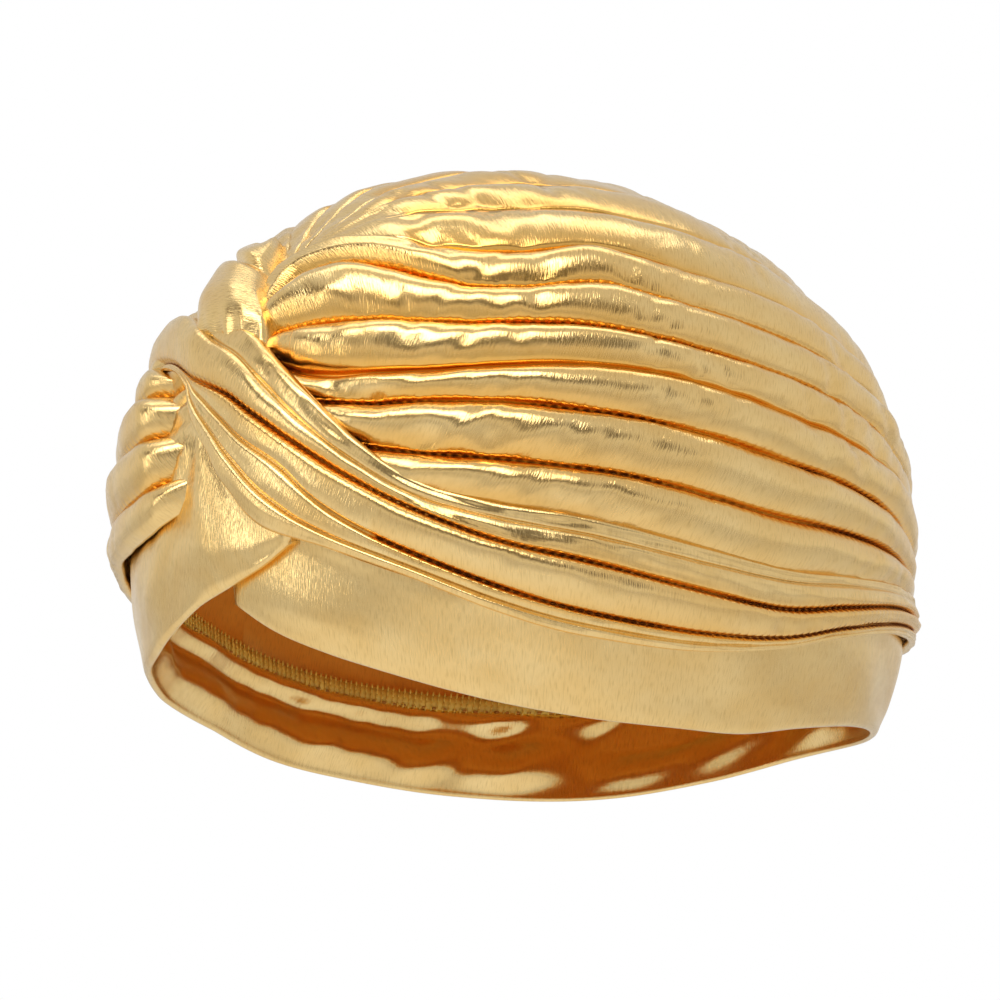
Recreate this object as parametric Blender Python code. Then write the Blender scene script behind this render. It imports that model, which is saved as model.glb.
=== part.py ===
"""Pleated turban with a crossed knot at the forehead, as worn: a hollow cloth cap.

Frame: metres, +Z up. The origin is the middle of the head opening, level with the
lowest point of the hem over the ears. The knot faces -Y and the wearer's left is +X.

Every cloth piece lies on one smooth head form. A place on the form is given either by
"around" (degrees, 0 at the forehead, 90 at the wearer's left ear, 180 at the nape) with
a height, or, for the pleats that run from knot to nape, by "sweep" (0 at the knot, 180
at the nape) with "lift" (0 out to the wearer's left, 90 over the top, 180 to the right).
"Standoff" is the distance from the form, measured square to it.
"""
import math
from collections import namedtuple

import bmesh
import bpy
import numpy as np

MM = 0.001

# The head form under the cloth
WIDEST_HEIGHT = 0.052
HALF_WIDTH = 0.087
HALF_LENGTH_FRONT = 0.094
HALF_LENGTH_BACK = 0.108
CROWN_RISE = 0.089
CROWN_FULLNESS = 2.1
LOWER_DEPTH = 0.112

# The knot sits higher on the form than the gathered nape
KNOT_TILT = math.radians(22)
NAPE_TILT = math.radians(7)

# Cloth
CLOTH_WALL = 2.0 * MM
PLEAT_RISE = 3.2 * MM
PLEAT_RISE_PER_WIDTH = 0.25
SEAM_GAP = 0.5 * MM
BAND_WALL = 2.2 * MM

# How finely the long way of each piece is divided
CROWN_STATIONS = 24
CROWN_END_SWEEP = 7.0
WRAP_STATIONS = 28
BAND_STEP = 8.0
CUTTER_STEP = 4.0
LOOP_STATIONS = 9
LOOP_COLUMNS = 7

# One pleat between its upper seam at 0 and its lower seam at 1: place and share of its rise
PleatPoint = namedtuple("PleatPoint", "place height")
PLEAT_CREST = (PleatPoint(0.30, 0.85), PleatPoint(0.78, 1.0))

# Crown seams on the wearer's left, lowest first: lift at five sweeps, and valley depth
CROWN_SWEEPS = (15.0, 30.0, 60.0, 100.0, 145.0)
CrownSeam = namedtuple("CrownSeam", "at_knot front temple ear nape depth")
LEFT_SEAMS = (
    CrownSeam(-62, -42, -19, -8, -1, 1.0),
    CrownSeam(-45, -29, -9, 1, 5, 1.0),
    CrownSeam(-30, -14, 2, 10, 11, 1.0),
    CrownSeam(-22, -9, 11, 18, 20, 0.6),
    CrownSeam(16, 13, 19, 25, 27, 1.0),
    CrownSeam(55, 31, 29, 33, 36, 1.0),
)
RIGHT_SEAMS = (
    CrownSeam(-40, -12, 2, 2, 3, 1.0),
    CrownSeam(-18, 2, 11, 12, 12, 1.0),
    CrownSeam(16, 16, 20, 22, 23, 1.0),
    CrownSeam(55, 32, 30, 33, 35, 1.0),
)
TOP_CREASES = (
    CrownSeam(68, 45, 38, 41, 44, 0.5),
    CrownSeam(76, 57, 50, 52, 54, 0.4),
    CrownSeam(82, 69, 63, 64, 65, 0.4),
    CrownSeam(87, 80, 77, 77, 78, 0.4),
)
# The plain cloth below the lowest seams, from left to right under the form
LOWER_SHARES = (0.07, 0.14, 0.21, 0.30, 0.5, 0.70, 0.79, 0.86, 0.93)

# Seam between crown and hem band: height at each place around
SeamPoint = namedtuple("SeamPoint", "around height")
BAND_SEAM = (
    SeamPoint(-180, 34), SeamPoint(-150, 26), SeamPoint(-120, 24), SeamPoint(-90, 27),
    SeamPoint(-60, 36), SeamPoint(-30, 44), SeamPoint(0, 47), SeamPoint(15, 42),
    SeamPoint(28, 34), SeamPoint(40, 28), SeamPoint(55, 24), SeamPoint(90, 23),
    SeamPoint(110, 27), SeamPoint(130, 31), SeamPoint(155, 34), SeamPoint(180, 34),
)

# Hem band, one strip once round the head: it starts tucked in at the forehead, and past
# 300 degrees it laps over its own start and rises into the knot as the front flap.
# Heights and the outer face's standoff are in millimetres; top None follows BAND_SEAM.
BandRow = namedtuple("BandRow", "around hem top face")
BAND_ROWS = (
    BandRow(3, 28, None, 0.2), BandRow(10, 21, None, 0.2), BandRow(19, 15, None, 0.2),
    BandRow(28, 10.5, None, 0.2), BandRow(45, 4, None, 0.2), BandRow(60, 1, None, 0.2),
    BandRow(80, 0, None, 0.2), BandRow(95, 0.5, None, 0.2), BandRow(110, 4, None, 0.2),
    BandRow(130, 8, None, 0.2), BandRow(155, 10, None, 0.2), BandRow(180, 9.5, None, 0.2),
    BandRow(195, 5, None, 0.2), BandRow(210, 1, None, 0.2), BandRow(240, 0, None, 0.2),
    BandRow(260, 2, None, 0.2), BandRow(280, 5, None, 0.2), BandRow(296, 10, None, 0.2),
    BandRow(312, 14.5, None, 3.2), BandRow(322, 17.5, 47, 3.2), BandRow(340, 20, 57, 3.2),
    BandRow(350, 24, 62, 3.2), BandRow(358, 28, 70, 3.2), BandRow(366, 32, 64, 3.2),
    BandRow(372, 36, 53, 3.2), BandRow(376, 40, 46, 3.2),
)

# From here on the strip lies outside the crown and its top is free to rise
FLAP_START = 312.0

# Crossed wraps, from the knot back to the nape: places of both edges, the seams between
# their pleats as shares of the way down, and the inner face's standoff in millimetres.
# An upper height of None follows the crown's lowest seam on that side.
WrapRow = namedtuple("WrapRow", "upper_around upper lower_around lower first second third inside")
LEFT_WRAP = (
    WrapRow(-8, 91, -7, 80, 0.30, 0.55, 0.78, 4.6),
    WrapRow(-1, 90.5, -2, 75, 0.34, 0.57, 0.78, 4.6),
    WrapRow(7, 87.5, 2, 65, 0.40, 0.60, 0.77, 4.4),
    WrapRow(14, 80, 6, 53, 0.44, 0.63, 0.76, 4.2),
    WrapRow(20, 71.5, 13, 43, 0.36, 0.58, 0.77, 4.2),
    WrapRow(27, 61, 23, 37.5, 0.33, 0.68, 0.88, 4.2),
    WrapRow(35, 52.5, 34, 31, 0.32, 0.75, 0.90, 4.2),
    WrapRow(46, 47, 47, 22.5, 0.34, 0.77, 0.90, 3.6),
    WrapRow(60, None, 60, 18, 0.38, 0.80, 0.91, 1.8),
    WrapRow(78, None, 78, 16.5, 0.42, 0.82, 0.92, 1.2),
    WrapRow(96, None, 96, 19.5, 0.50, 0.86, 0.94, 1.2),
    WrapRow(112, None, 112, 25, 0.50, 0.84, 0.93, 1.2),
    WrapRow(130, None, 130, 30, 0.46, 0.80, 0.91, 1.2),
    WrapRow(148, None, 148, 32, 0.40, 0.72, 0.88, 1.2),
    WrapRow(164, None, 164, 32.5, 0.37, 0.66, 0.85, 1.2),
    WrapRow(179.8, None, 179.8, 33, 0.34, 0.62, 0.82, 1.2),
)
RIGHT_WRAP = (
    WrapRow(-12, 90.5, -5, 46, 0.22, 0.50, 0.82, 4.6),
    WrapRow(-24, 89, -16, 43, 0.22, 0.48, 0.80, 4.4),
    WrapRow(-40, 82, -32, 38, 0.22, 0.47, 0.76, 4.2),
    WrapRow(-58, None, -52, 32, 0.24, 0.47, 0.74, 4.2),
    WrapRow(-76, None, -74, 25, 0.25, 0.48, 0.74, 2.4),
    WrapRow(-98, None, -96, 20, 0.26, 0.50, 0.74, 1.2),
    WrapRow(-120, None, -120, 18, 0.26, 0.50, 0.74, 1.2),
    WrapRow(-145, None, -145, 21, 0.26, 0.50, 0.74, 1.2),
    WrapRow(-165, None, -165, 28, 0.26, 0.50, 0.74, 1.2),
    WrapRow(-179.8, None, -179.8, 33, 0.26, 0.50, 0.74, 1.2),
)
WRAP_PLEAT_RISE = 3.0 * MM
WRAP_BELOW_SEAM = 1.8 * MM
# First sweep, last sweep and count of the places where a crown seam is traced
SEAM_TRACE = (20, 172, 60)
EDGE_ROUNDING = 0.45

# The strap that loops over the crossing, from the crown down to the wraps' upper edges
LoopRow = namedtuple("LoopRow", "around height half_width crest")
LOOP_ROWS = (
    LoopRow(-22, 119, 9, 7.5),
    LoopRow(-17, 113, 11, 13),
    LoopRow(-11, 106, 12, 15.5),
    LoopRow(-5, 99, 12, 15.0),
    LoopRow(-2, 93.5, 11.5, 11.0),
)
LOOP_INSIDE = 3.2 * MM
LOOP_EDGE_CREST = 6.4 * MM

# Overlocked seam allowance that turns down inside the cap at the band seam
TAPE_FACE = -2.8 * MM
TAPE_WALL = 0.9 * MM
TAPE_BELOW = 2.6 * MM
TAPE_ABOVE = 1.4 * MM
TAPE_STEP = 9.0

GOLD = (0.80, 0.58, 0.24)
GOLD_INSIDE = (0.62, 0.36, 0.08)
THREAD_GOLD = (0.78, 0.52, 0.14)


def clear_scene():
    for item in list(bpy.data.objects):
        bpy.data.objects.remove(item, do_unlink=True)


def cloth_material(name, colour, roughness, metallic):
    material = bpy.data.materials.new(name)
    material.use_nodes = True
    shader = material.node_tree.nodes["Principled BSDF"]
    shader.inputs["Base Color"].default_value = (*colour, 1.0)
    shader.inputs["Roughness"].default_value = roughness
    shader.inputs["Metallic"].default_value = metallic
    return material


def smooth_step(value):
    value = min(max(value, 0.0), 1.0)
    return value * value * (3.0 - 2.0 * value)


def smooth_read(place, places, values):
    """Read a table along a smooth curve that passes through each of its points."""
    place = min(max(place, places[0]), places[-1])
    index = min(int(np.searchsorted(places, place, side="right")) - 1, len(places) - 2)
    slopes = np.gradient(np.asarray(values, float), np.asarray(places, float))
    span = places[index + 1] - places[index]
    t = (place - places[index]) / span
    return float(
        (2 * t**3 - 3 * t**2 + 1) * values[index]
        + (t**3 - 2 * t**2 + t) * span * slopes[index]
        + (3 * t**2 - 2 * t**3) * values[index + 1]
        + (t**3 - t**2) * span * slopes[index + 1]
    )


def half_length(y):
    return HALF_LENGTH_FRONT if y < 0 else HALF_LENGTH_BACK


def form_by_direction(direction):
    """Point where a ray from the form's centre leaves the form."""
    flat = math.hypot(direction[0] / HALF_WIDTH, direction[1] / half_length(direction[1]))
    rise = direction[2]
    if rise >= 0:
        power, reach = CROWN_FULLNESS, CROWN_RISE
    else:
        power, reach = 2.0, LOWER_DEPTH
    distance = (flat**power + (abs(rise) / reach) ** power) ** (-1.0 / power)
    return np.array([0.0, 0.0, WIDEST_HEIGHT]) + distance * np.asarray(direction)


def form_by_height(around, height):
    """Point of the form at a height, in the direction given by around."""
    rise = height - WIDEST_HEIGHT
    power, reach = (CROWN_FULLNESS, CROWN_RISE) if rise >= 0 else (2.0, LOWER_DEPTH)
    share = (1.0 - (abs(rise) / reach) ** power) ** (1.0 / power)
    x, y = math.sin(math.radians(around)), -math.cos(math.radians(around))
    distance = share / math.hypot(x / HALF_WIDTH, y / half_length(y))
    return np.array([distance * x, distance * y, height])


def form_normal(point):
    """Outward direction square to the form at one of its points."""
    across, along = HALF_WIDTH, half_length(point[1])
    rise = point[2] - WIDEST_HEIGHT
    power, reach = (CROWN_FULLNESS, CROWN_RISE) if rise >= 0 else (2.0, LOWER_DEPTH)
    flat = max(math.hypot(point[0] / across, point[1] / along), 1e-6)
    lean = flat ** (power - 2.0)
    normal = np.array([
        lean * point[0] / across**2,
        lean * point[1] / along**2,
        math.copysign((abs(rise) / reach) ** (power - 1.0) / reach, rise),
    ])
    return normal / np.linalg.norm(normal)


def lifted(point, standoff):
    return point + standoff * form_normal(point)


def level(point, standoff):
    """A lifted point kept at its own height."""
    moved = lifted(point, standoff)
    moved[2] = point[2]
    return moved


def pleat_direction(sweep, lift):
    """Direction from the form's centre for a place on a knot-to-nape line."""
    turn = smooth_step((sweep / 180.0 - 0.25) / 0.5)
    tilt = KNOT_TILT + (NAPE_TILT - KNOT_TILT) * turn
    sweep, lift = math.radians(sweep), math.radians(lift)
    out, up = math.sin(sweep) * math.cos(lift), math.sin(sweep) * math.sin(lift)
    ahead = math.cos(sweep)
    return np.array([
        out,
        -ahead * math.cos(tilt) + up * math.sin(tilt),
        ahead * math.sin(tilt) + up * math.cos(tilt),
    ])


def seam_lift(seam, sweep):
    return smooth_read(sweep, CROWN_SWEEPS, seam[:5])


def closed_shell(outer, inner, ring):
    """Mesh between an outer and an inner grid of points; ring joins last column to first."""
    mesh = bmesh.new()
    out_grid = [[mesh.verts.new(point) for point in row] for row in outer]
    in_grid = [[mesh.verts.new(point) for point in row] for row in inner]
    rows, columns = len(outer), len(outer[0])
    for row in range(rows - 1):
        for column in range(columns if ring else columns - 1):
            near, far = column, (column + 1) % columns
            mesh.faces.new((out_grid[row][near], out_grid[row + 1][near],
                            out_grid[row + 1][far], out_grid[row][far]))
            mesh.faces.new((in_grid[row][near], in_grid[row][far],
                            in_grid[row + 1][far], in_grid[row + 1][near]))
    close_rims(mesh, out_grid, in_grid, ring)
    bmesh.ops.recalc_face_normals(mesh, faces=mesh.faces)
    return mesh


def close_rims(mesh, out_grid, in_grid, ring):
    columns = len(out_grid[0])
    for column in range(columns if ring else columns - 1):
        far = (column + 1) % columns
        for row, flip in ((0, False), (-1, True)):
            edge = [out_grid[row][column], out_grid[row][far], in_grid[row][far], in_grid[row][column]]
            mesh.faces.new(reversed(edge) if flip else edge)
    if ring:
        return
    for row in range(len(out_grid) - 1):
        for column, flip in ((0, True), (-1, False)):
            edge = [out_grid[row][column], out_grid[row + 1][column],
                    in_grid[row + 1][column], in_grid[row][column]]
            mesh.faces.new(reversed(edge) if flip else edge)


def add_piece(name, mesh, material):
    data = bpy.data.meshes.new(name)
    bmesh.ops.triangulate(mesh, faces=mesh.faces)
    mesh.to_mesh(data)
    mesh.free()
    piece = bpy.data.objects.new(name, data)
    bpy.context.scene.collection.objects.link(piece)
    data.materials.append(material)
    data.shade_smooth()
    data.set_sharp_from_angle(angle=math.radians(50))
    return piece


def crown_section(sweep):
    """Lifts and standoffs once round the crown at one sweep, from the left seam upward."""
    left = [(seam_lift(seam, sweep), seam.depth) for seam in LEFT_SEAMS + TOP_CREASES]
    right = [(180.0 - seam_lift(seam, sweep), seam.depth) for seam in RIGHT_SEAMS + TOP_CREASES]
    seams = left + [(90.0, TOP_CREASES[-1].depth)] + right[::-1]
    seams = sorted(seams, key=lambda entry: entry[0])
    girth = math.sin(math.radians(sweep)) * 0.5 * (HALF_LENGTH_FRONT + HALF_LENGTH_BACK)
    section = []
    for (low, depth), (high, _) in zip(seams, seams[1:]):
        width = math.radians(high - low) * girth
        rise = min(PLEAT_RISE, PLEAT_RISE_PER_WIDTH * width)
        crest = [(1.0 - point.place, point.height) for point in reversed(PLEAT_CREST)]
        if low >= 90.0:
            crest = PLEAT_CREST
        section.append((low, rise * (1.0 - depth)))
        section += [(low + place * (high - low), rise * height) for place, height in crest]
    section.append((seams[-1][0], 0.0))
    low, high = seams[-1][0], seams[0][0] + 360.0
    section += [(low + share * (high - low), 0.0) for share in LOWER_SHARES]
    return section


def crown_grids():
    outer, inner = [], []
    for index in range(CROWN_STATIONS):
        share = index / (CROWN_STATIONS - 1)
        sweep = CROWN_END_SWEEP + share * (180.0 - 2.0 * CROWN_END_SWEEP)
        base = [(form_by_direction(pleat_direction(sweep, lift)), rise)
                for lift, rise in crown_section(sweep)]
        outer.append([lifted(point, rise) for point, rise in base])
        inner.append([lifted(point, rise - CLOTH_WALL) for point, rise in base])
    return outer, inner


def capped(mesh, rows, outward):
    """Close one tube of points at its two ends with a fan, its faces out or in."""
    grid = [[mesh.verts.new(point) for point in row] for row in rows]
    columns = len(rows[0])
    for row in range(len(rows) - 1):
        for column in range(columns):
            far = (column + 1) % columns
            face = [grid[row][column], grid[row + 1][column], grid[row + 1][far], grid[row][far]]
            mesh.faces.new(face if outward else reversed(face))
    for row, flip in ((0, outward), (-1, not outward)):
        middle = mesh.verts.new(sum(np.asarray(point) for point in rows[row]) / columns)
        for column in range(columns):
            far = (column + 1) % columns
            face = [grid[row][column], grid[row][far], middle]
            mesh.faces.new(face if flip else reversed(face))


def seam_height(around):
    around = (around + 180.0) % 360.0 - 180.0
    places = [point.around for point in BAND_SEAM]
    heights = [point.height for point in BAND_SEAM]
    return smooth_read(around, places, heights) * MM


def below_seam_cutter():
    """Solid that fills everything under the crown's lower edge."""
    mesh = bmesh.new()
    reach, core, floor = 0.16, 0.05, -0.08
    turns = [index * CUTTER_STEP for index in range(int(360 / CUTTER_STEP))]
    rings = []
    for radius, flat_height in ((core, None), (reach, None), (reach, floor)):
        ring = []
        for around in turns:
            x, y = math.sin(math.radians(around)), -math.cos(math.radians(around))
            height = seam_height(around) if flat_height is None else flat_height
            ring.append(mesh.verts.new((radius * x, radius * y, height)))
        rings.append(ring)
    for upper, lower in zip(rings, rings[1:]):
        for index in range(len(turns)):
            far = (index + 1) % len(turns)
            mesh.faces.new((upper[index], upper[far], lower[far], lower[index]))
    mesh.faces.new(rings[-1])
    middle = mesh.verts.new((0.0, 0.0, seam_height(90)))
    for index in range(len(turns)):
        far = (index + 1) % len(turns)
        mesh.faces.new((rings[0][far], rings[0][index], middle))
    bmesh.ops.recalc_face_normals(mesh, faces=mesh.faces)
    data = bpy.data.meshes.new("below_seam_cutter")
    mesh.to_mesh(data)
    mesh.free()
    cutter = bpy.data.objects.new("below_seam_cutter", data)
    bpy.context.scene.collection.objects.link(cutter)
    cutter.hide_render = True
    cutter.display_type = "WIRE"
    return cutter


def make_crown(material):
    outer, inner = crown_grids()
    mesh = bmesh.new()
    capped(mesh, outer, True)
    capped(mesh, inner, False)
    bmesh.ops.triangulate(mesh, faces=mesh.faces)
    if mesh.calc_volume(signed=True) < 0:
        bmesh.ops.reverse_faces(mesh, faces=mesh.faces)
    crown = add_piece("crown", mesh, material)
    cut = crown.modifiers.new("open_below", "BOOLEAN")
    cut.operation = "DIFFERENCE"
    cut.solver = "EXACT"
    cut.object = below_seam_cutter()
    return crown


def band_grids():
    arounds = [row.around for row in BAND_ROWS]
    tops = [row.top * MM if row.top is not None else seam_height(row.around) - SEAM_GAP
            for row in BAND_ROWS]
    steps = int(round((arounds[-1] - arounds[0]) / BAND_STEP))
    outer, inner = [], []
    for index in range(steps + 1):
        around = arounds[0] + (arounds[-1] - arounds[0]) * index / steps
        hem = smooth_read(around, arounds, [row.hem * MM for row in BAND_ROWS])
        top = smooth_read(around, arounds, tops)
        if around < FLAP_START:
            top = seam_height(around) - SEAM_GAP
        face = np.interp(around, arounds, [row.face * MM for row in BAND_ROWS])
        heights = [hem + share * (top - hem) for share in (0.0, 0.08, 0.5, 1.0)]
        points = [form_by_height(around, height) for height in heights]
        tuck = (0.6 * MM, 0.0, 0.0, 0.0)
        outer.append([level(point, face - pull) for point, pull in zip(points, tuck)])
        inner.append([level(point, face - BAND_WALL) for point in points])
    return outer, inner


def lowest_seam_heights(seam, side):
    """Places around and heights along the crown's lowest seam on one side."""
    arounds, heights = [], []
    for sweep in np.linspace(*SEAM_TRACE):
        lift = seam_lift(seam, sweep)
        direction = pleat_direction(sweep, lift if side > 0 else 180.0 - lift)
        point = form_by_direction(direction)
        arounds.append(math.degrees(math.atan2(side * point[0], -point[1])))
        heights.append(point[2])
    return arounds, heights


def wrap_pleats(row):
    return (0.0, row.first, row.second, row.third, 1.0)


def wrap_grids(table, side, lowest_seam):
    """Outer and inner points of one wrap, seams and pleats read from its table."""
    arounds, heights = lowest_seam_heights(lowest_seam, side)
    upper_heights = []
    for row in table:
        if row.upper is None:
            edge = np.interp(side * row.upper_around, arounds, heights) - WRAP_BELOW_SEAM
        else:
            edge = row.upper * MM
        upper_heights.append(edge)
    order = list(range(len(table)))
    outer, inner = [], []
    for index in range(WRAP_STATIONS):
        place = index / (WRAP_STATIONS - 1) * (len(table) - 1)

        def read(values):
            return smooth_read(place, order, values)

        upper_around = read([row.upper_around for row in table])
        lower_around = read([row.lower_around for row in table])
        upper, lower = read(upper_heights), read([row.lower * MM for row in table])
        if table[min(int(place), len(table) - 1)].upper is None:
            upper = np.interp(side * upper_around, arounds, heights) - WRAP_BELOW_SEAM
        inside = read([row.inside * MM for row in table])
        seams = [read([wrap_pleats(row)[pleat] for row in table]) for pleat in range(5)]
        out_row, in_row = [], []
        for share, rise in wrap_section(seams, upper - lower):
            around = upper_around + share * (lower_around - upper_around)
            point = form_by_height(around, upper + share * (lower - upper))
            out_row.append(lifted(point, inside + CLOTH_WALL + rise))
            in_row.append(lifted(point, inside))
        outer.append(out_row)
        inner.append(in_row)
    return outer, inner


def wrap_section(seams, drop):
    """Shares of the way down a wrap and the pleats' rise there."""
    section = []
    for start, end in zip(seams, seams[1:]):
        width = (end - start) * drop
        rise = min(WRAP_PLEAT_RISE, PLEAT_RISE_PER_WIDTH * width)
        section.append((start, 0.0))
        section += [(start + place * (end - start), rise * height) for place, height in PLEAT_CREST]
    section[0] = (0.0, -EDGE_ROUNDING * CLOTH_WALL)
    section.append((1.0, -EDGE_ROUNDING * CLOTH_WALL))
    return section


def make_wrap(name, table, side, lowest_seam, material):
    outer, inner = wrap_grids(table, side, lowest_seam)
    return add_piece(name, closed_shell(outer, inner, ring=False), material)


def make_loop(material):
    order = list(range(len(LOOP_ROWS)))
    outer, inner = [], []
    for index in range(LOOP_STATIONS):
        place = index / (LOOP_STATIONS - 1) * (len(LOOP_ROWS) - 1)
        around, height, half_width, crest = (
            smooth_read(place, order, [row[field] for row in LOOP_ROWS]) for field in range(4))
        out_row, in_row = [], []
        for column in range(LOOP_COLUMNS):
            across = 2.0 * column / (LOOP_COLUMNS - 1) - 1.0
            middle = form_by_height(around, height * MM)
            turn = math.degrees(across * half_width * MM / math.hypot(middle[0], middle[1]))
            point = form_by_height(around + turn, height * MM)
            bulge = LOOP_EDGE_CREST + (crest * MM - LOOP_EDGE_CREST) * (1.0 - across**4)
            out_row.append(lifted(point, bulge))
            in_row.append(lifted(point, LOOP_INSIDE))
        outer.append(out_row)
        inner.append(in_row)
    return add_piece("knot_loop", closed_shell(outer, inner, ring=False), material)


def make_tape(material):
    outer, inner = [], []
    columns = int(360 / TAPE_STEP)
    for shift in (TAPE_ABOVE, -TAPE_BELOW):
        out_row, in_row = [], []
        for index in range(columns):
            around = index * TAPE_STEP
            point = form_by_height(around, seam_height(around) + shift)
            out_row.append(lifted(point, TAPE_FACE))
            in_row.append(lifted(point, TAPE_FACE - TAPE_WALL))
        outer.append(out_row)
        inner.append(in_row)
    return add_piece("seam_allowance", closed_shell(outer, inner, ring=True), material)


def build():
    clear_scene()
    cloth = cloth_material("gold_foil_knit", GOLD, 0.32, 0.9)
    inside = cloth_material("gold_knit_inside", GOLD_INSIDE, 0.38, 0.7)
    thread = cloth_material("overlock_thread", THREAD_GOLD, 0.6, 0.2)
    make_crown(cloth)
    outer, inner = band_grids()
    add_piece("hem_band", closed_shell(outer, inner, ring=False), inside)
    make_wrap("wrap_left", LEFT_WRAP, 1, LEFT_SEAMS[0], cloth)
    make_wrap("wrap_right", RIGHT_WRAP, -1, RIGHT_SEAMS[0], cloth)
    make_loop(cloth)
    make_tape(thread)


build()
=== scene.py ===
# %% [markdown]
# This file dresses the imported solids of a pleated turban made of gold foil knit.
# The real cap is a stretch tube of foil printed jersey. It is gathered into pleats that
# run from a crossed knot at the forehead to the nape, and it is sewn to a smooth band.
# The solids hold its true sizes. Here each cloth piece is made again as a fine surface,
# with stitched seams, puckers and soft dents, because foil shows every small bend.

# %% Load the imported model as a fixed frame
import math
from collections import namedtuple

import bmesh
import bpy
import numpy as np
from mathutils import Matrix, Vector, noise


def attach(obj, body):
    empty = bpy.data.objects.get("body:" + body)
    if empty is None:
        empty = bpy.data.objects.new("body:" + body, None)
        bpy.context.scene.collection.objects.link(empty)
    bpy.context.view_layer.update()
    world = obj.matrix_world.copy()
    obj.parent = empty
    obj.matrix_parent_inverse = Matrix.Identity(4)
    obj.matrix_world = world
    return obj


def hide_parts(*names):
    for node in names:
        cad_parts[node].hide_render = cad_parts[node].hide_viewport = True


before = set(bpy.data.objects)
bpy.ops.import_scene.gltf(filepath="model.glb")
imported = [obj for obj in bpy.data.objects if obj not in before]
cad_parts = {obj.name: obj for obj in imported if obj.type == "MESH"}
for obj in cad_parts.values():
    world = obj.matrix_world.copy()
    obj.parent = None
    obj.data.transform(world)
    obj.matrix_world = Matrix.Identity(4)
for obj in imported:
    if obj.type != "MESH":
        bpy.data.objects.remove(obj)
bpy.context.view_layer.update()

print("solids:", sorted(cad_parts))

# %% [markdown]
# The cloth lies on a head, so every place is given on one smooth head form, as in the
# solids. "Around" is degrees from the forehead towards the wearer's left, "sweep" runs
# from the knot at 0 to the nape at 180, and "lift" turns from the wearer's left at 0
# over the top at 90. "Standoff" is the distance from the form, square to it. The same
# few sizes and short tables as in the solids are repeated here, read more finely.

# %% The head form under the cloth
MM = 0.001
WIDEST_HEIGHT = 0.052
HALF_WIDTH = 0.087
HALF_LENGTH_FRONT = 0.094
HALF_LENGTH_BACK = 0.108
CROWN_RISE = 0.089
CROWN_FULLNESS = 2.1
LOWER_DEPTH = 0.112
# The knot sits higher on the form than the gathered nape
KNOT_TILT = math.radians(22)
NAPE_TILT = math.radians(7)


def half_length(y):
    return np.where(y < 0, HALF_LENGTH_FRONT, HALF_LENGTH_BACK)


def form_by_direction(direction):
    """Points where rays from the form's centre leave the form."""
    x, y, z = np.moveaxis(direction, -1, 0)
    flat = np.hypot(x / HALF_WIDTH, y / half_length(y))
    power = np.where(z >= 0, CROWN_FULLNESS, 2.0)
    reach = np.where(z >= 0, CROWN_RISE, LOWER_DEPTH)
    distance = (flat**power + (np.abs(z) / reach) ** power) ** (-1.0 / power)
    return distance[..., None] * direction + np.array([0.0, 0.0, WIDEST_HEIGHT])


def form_by_height(around, height):
    """Points of the form at given heights, in the directions given by around."""
    around, height = np.broadcast_arrays(np.radians(around), height)
    rise = height - WIDEST_HEIGHT
    power = np.where(rise >= 0, CROWN_FULLNESS, 2.0)
    reach = np.where(rise >= 0, CROWN_RISE, LOWER_DEPTH)
    share = np.clip(1.0 - (np.abs(rise) / reach) ** power, 1e-6, 1.0) ** (1.0 / power)
    x, y = np.sin(around), -np.cos(around)
    distance = share / np.hypot(x / HALF_WIDTH, y / half_length(y))
    return np.stack([distance * x, distance * y, height], axis=-1)


def form_normal(point):
    """Outward directions square to the form."""
    x, y, z = np.moveaxis(point, -1, 0)
    rise = z - WIDEST_HEIGHT
    power = np.where(rise >= 0, CROWN_FULLNESS, 2.0)
    reach = np.where(rise >= 0, CROWN_RISE, LOWER_DEPTH)
    flat = np.maximum(np.hypot(x / HALF_WIDTH, y / half_length(y)), 1e-6)
    lean = flat ** (power - 2.0)
    upward = np.sign(rise) * (np.abs(rise) / reach) ** (power - 1.0) / reach
    normal = np.stack([lean * x / HALF_WIDTH**2, lean * y / half_length(y) ** 2, upward], axis=-1)
    return normal / np.linalg.norm(normal, axis=-1, keepdims=True)


def downhill(point):
    """Downward directions along the form, shorter where it is flatter."""
    normal = form_normal(point)
    return normal * normal[..., 2:] - np.array([0.0, 0.0, 1.0])


def lifted(point, standoff):
    return point + np.asarray(standoff)[..., None] * form_normal(point)


print(f"form: {2000 * HALF_WIDTH:.0f} mm wide, {1000 * (HALF_LENGTH_FRONT + HALF_LENGTH_BACK):.0f} mm long")

# %% Smooth reading of short tables
def ease(value):
    value = np.clip(value, 0.0, 1.0)
    return value * value * (3.0 - 2.0 * value)


def read_table(place, places, values):
    """Read a table along a smooth curve that passes through each of its points."""
    places, values = np.asarray(places, float), np.asarray(values, float)
    place = np.clip(place, places[0], places[-1])
    left = np.clip(np.searchsorted(places, place, side="right") - 1, 0, len(places) - 2)
    slope, span = np.gradient(values, places), places[left + 1] - places[left]
    t = (place - places[left]) / span
    return (
        (2 * t**3 - 3 * t**2 + 1) * values[left]
        + (t**3 - 2 * t**2 + t) * span * slope[left]
        + (3 * t**2 - 2 * t**3) * values[left + 1]
        + (t**3 - t**2) * span * slope[left + 1]
    )


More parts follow.
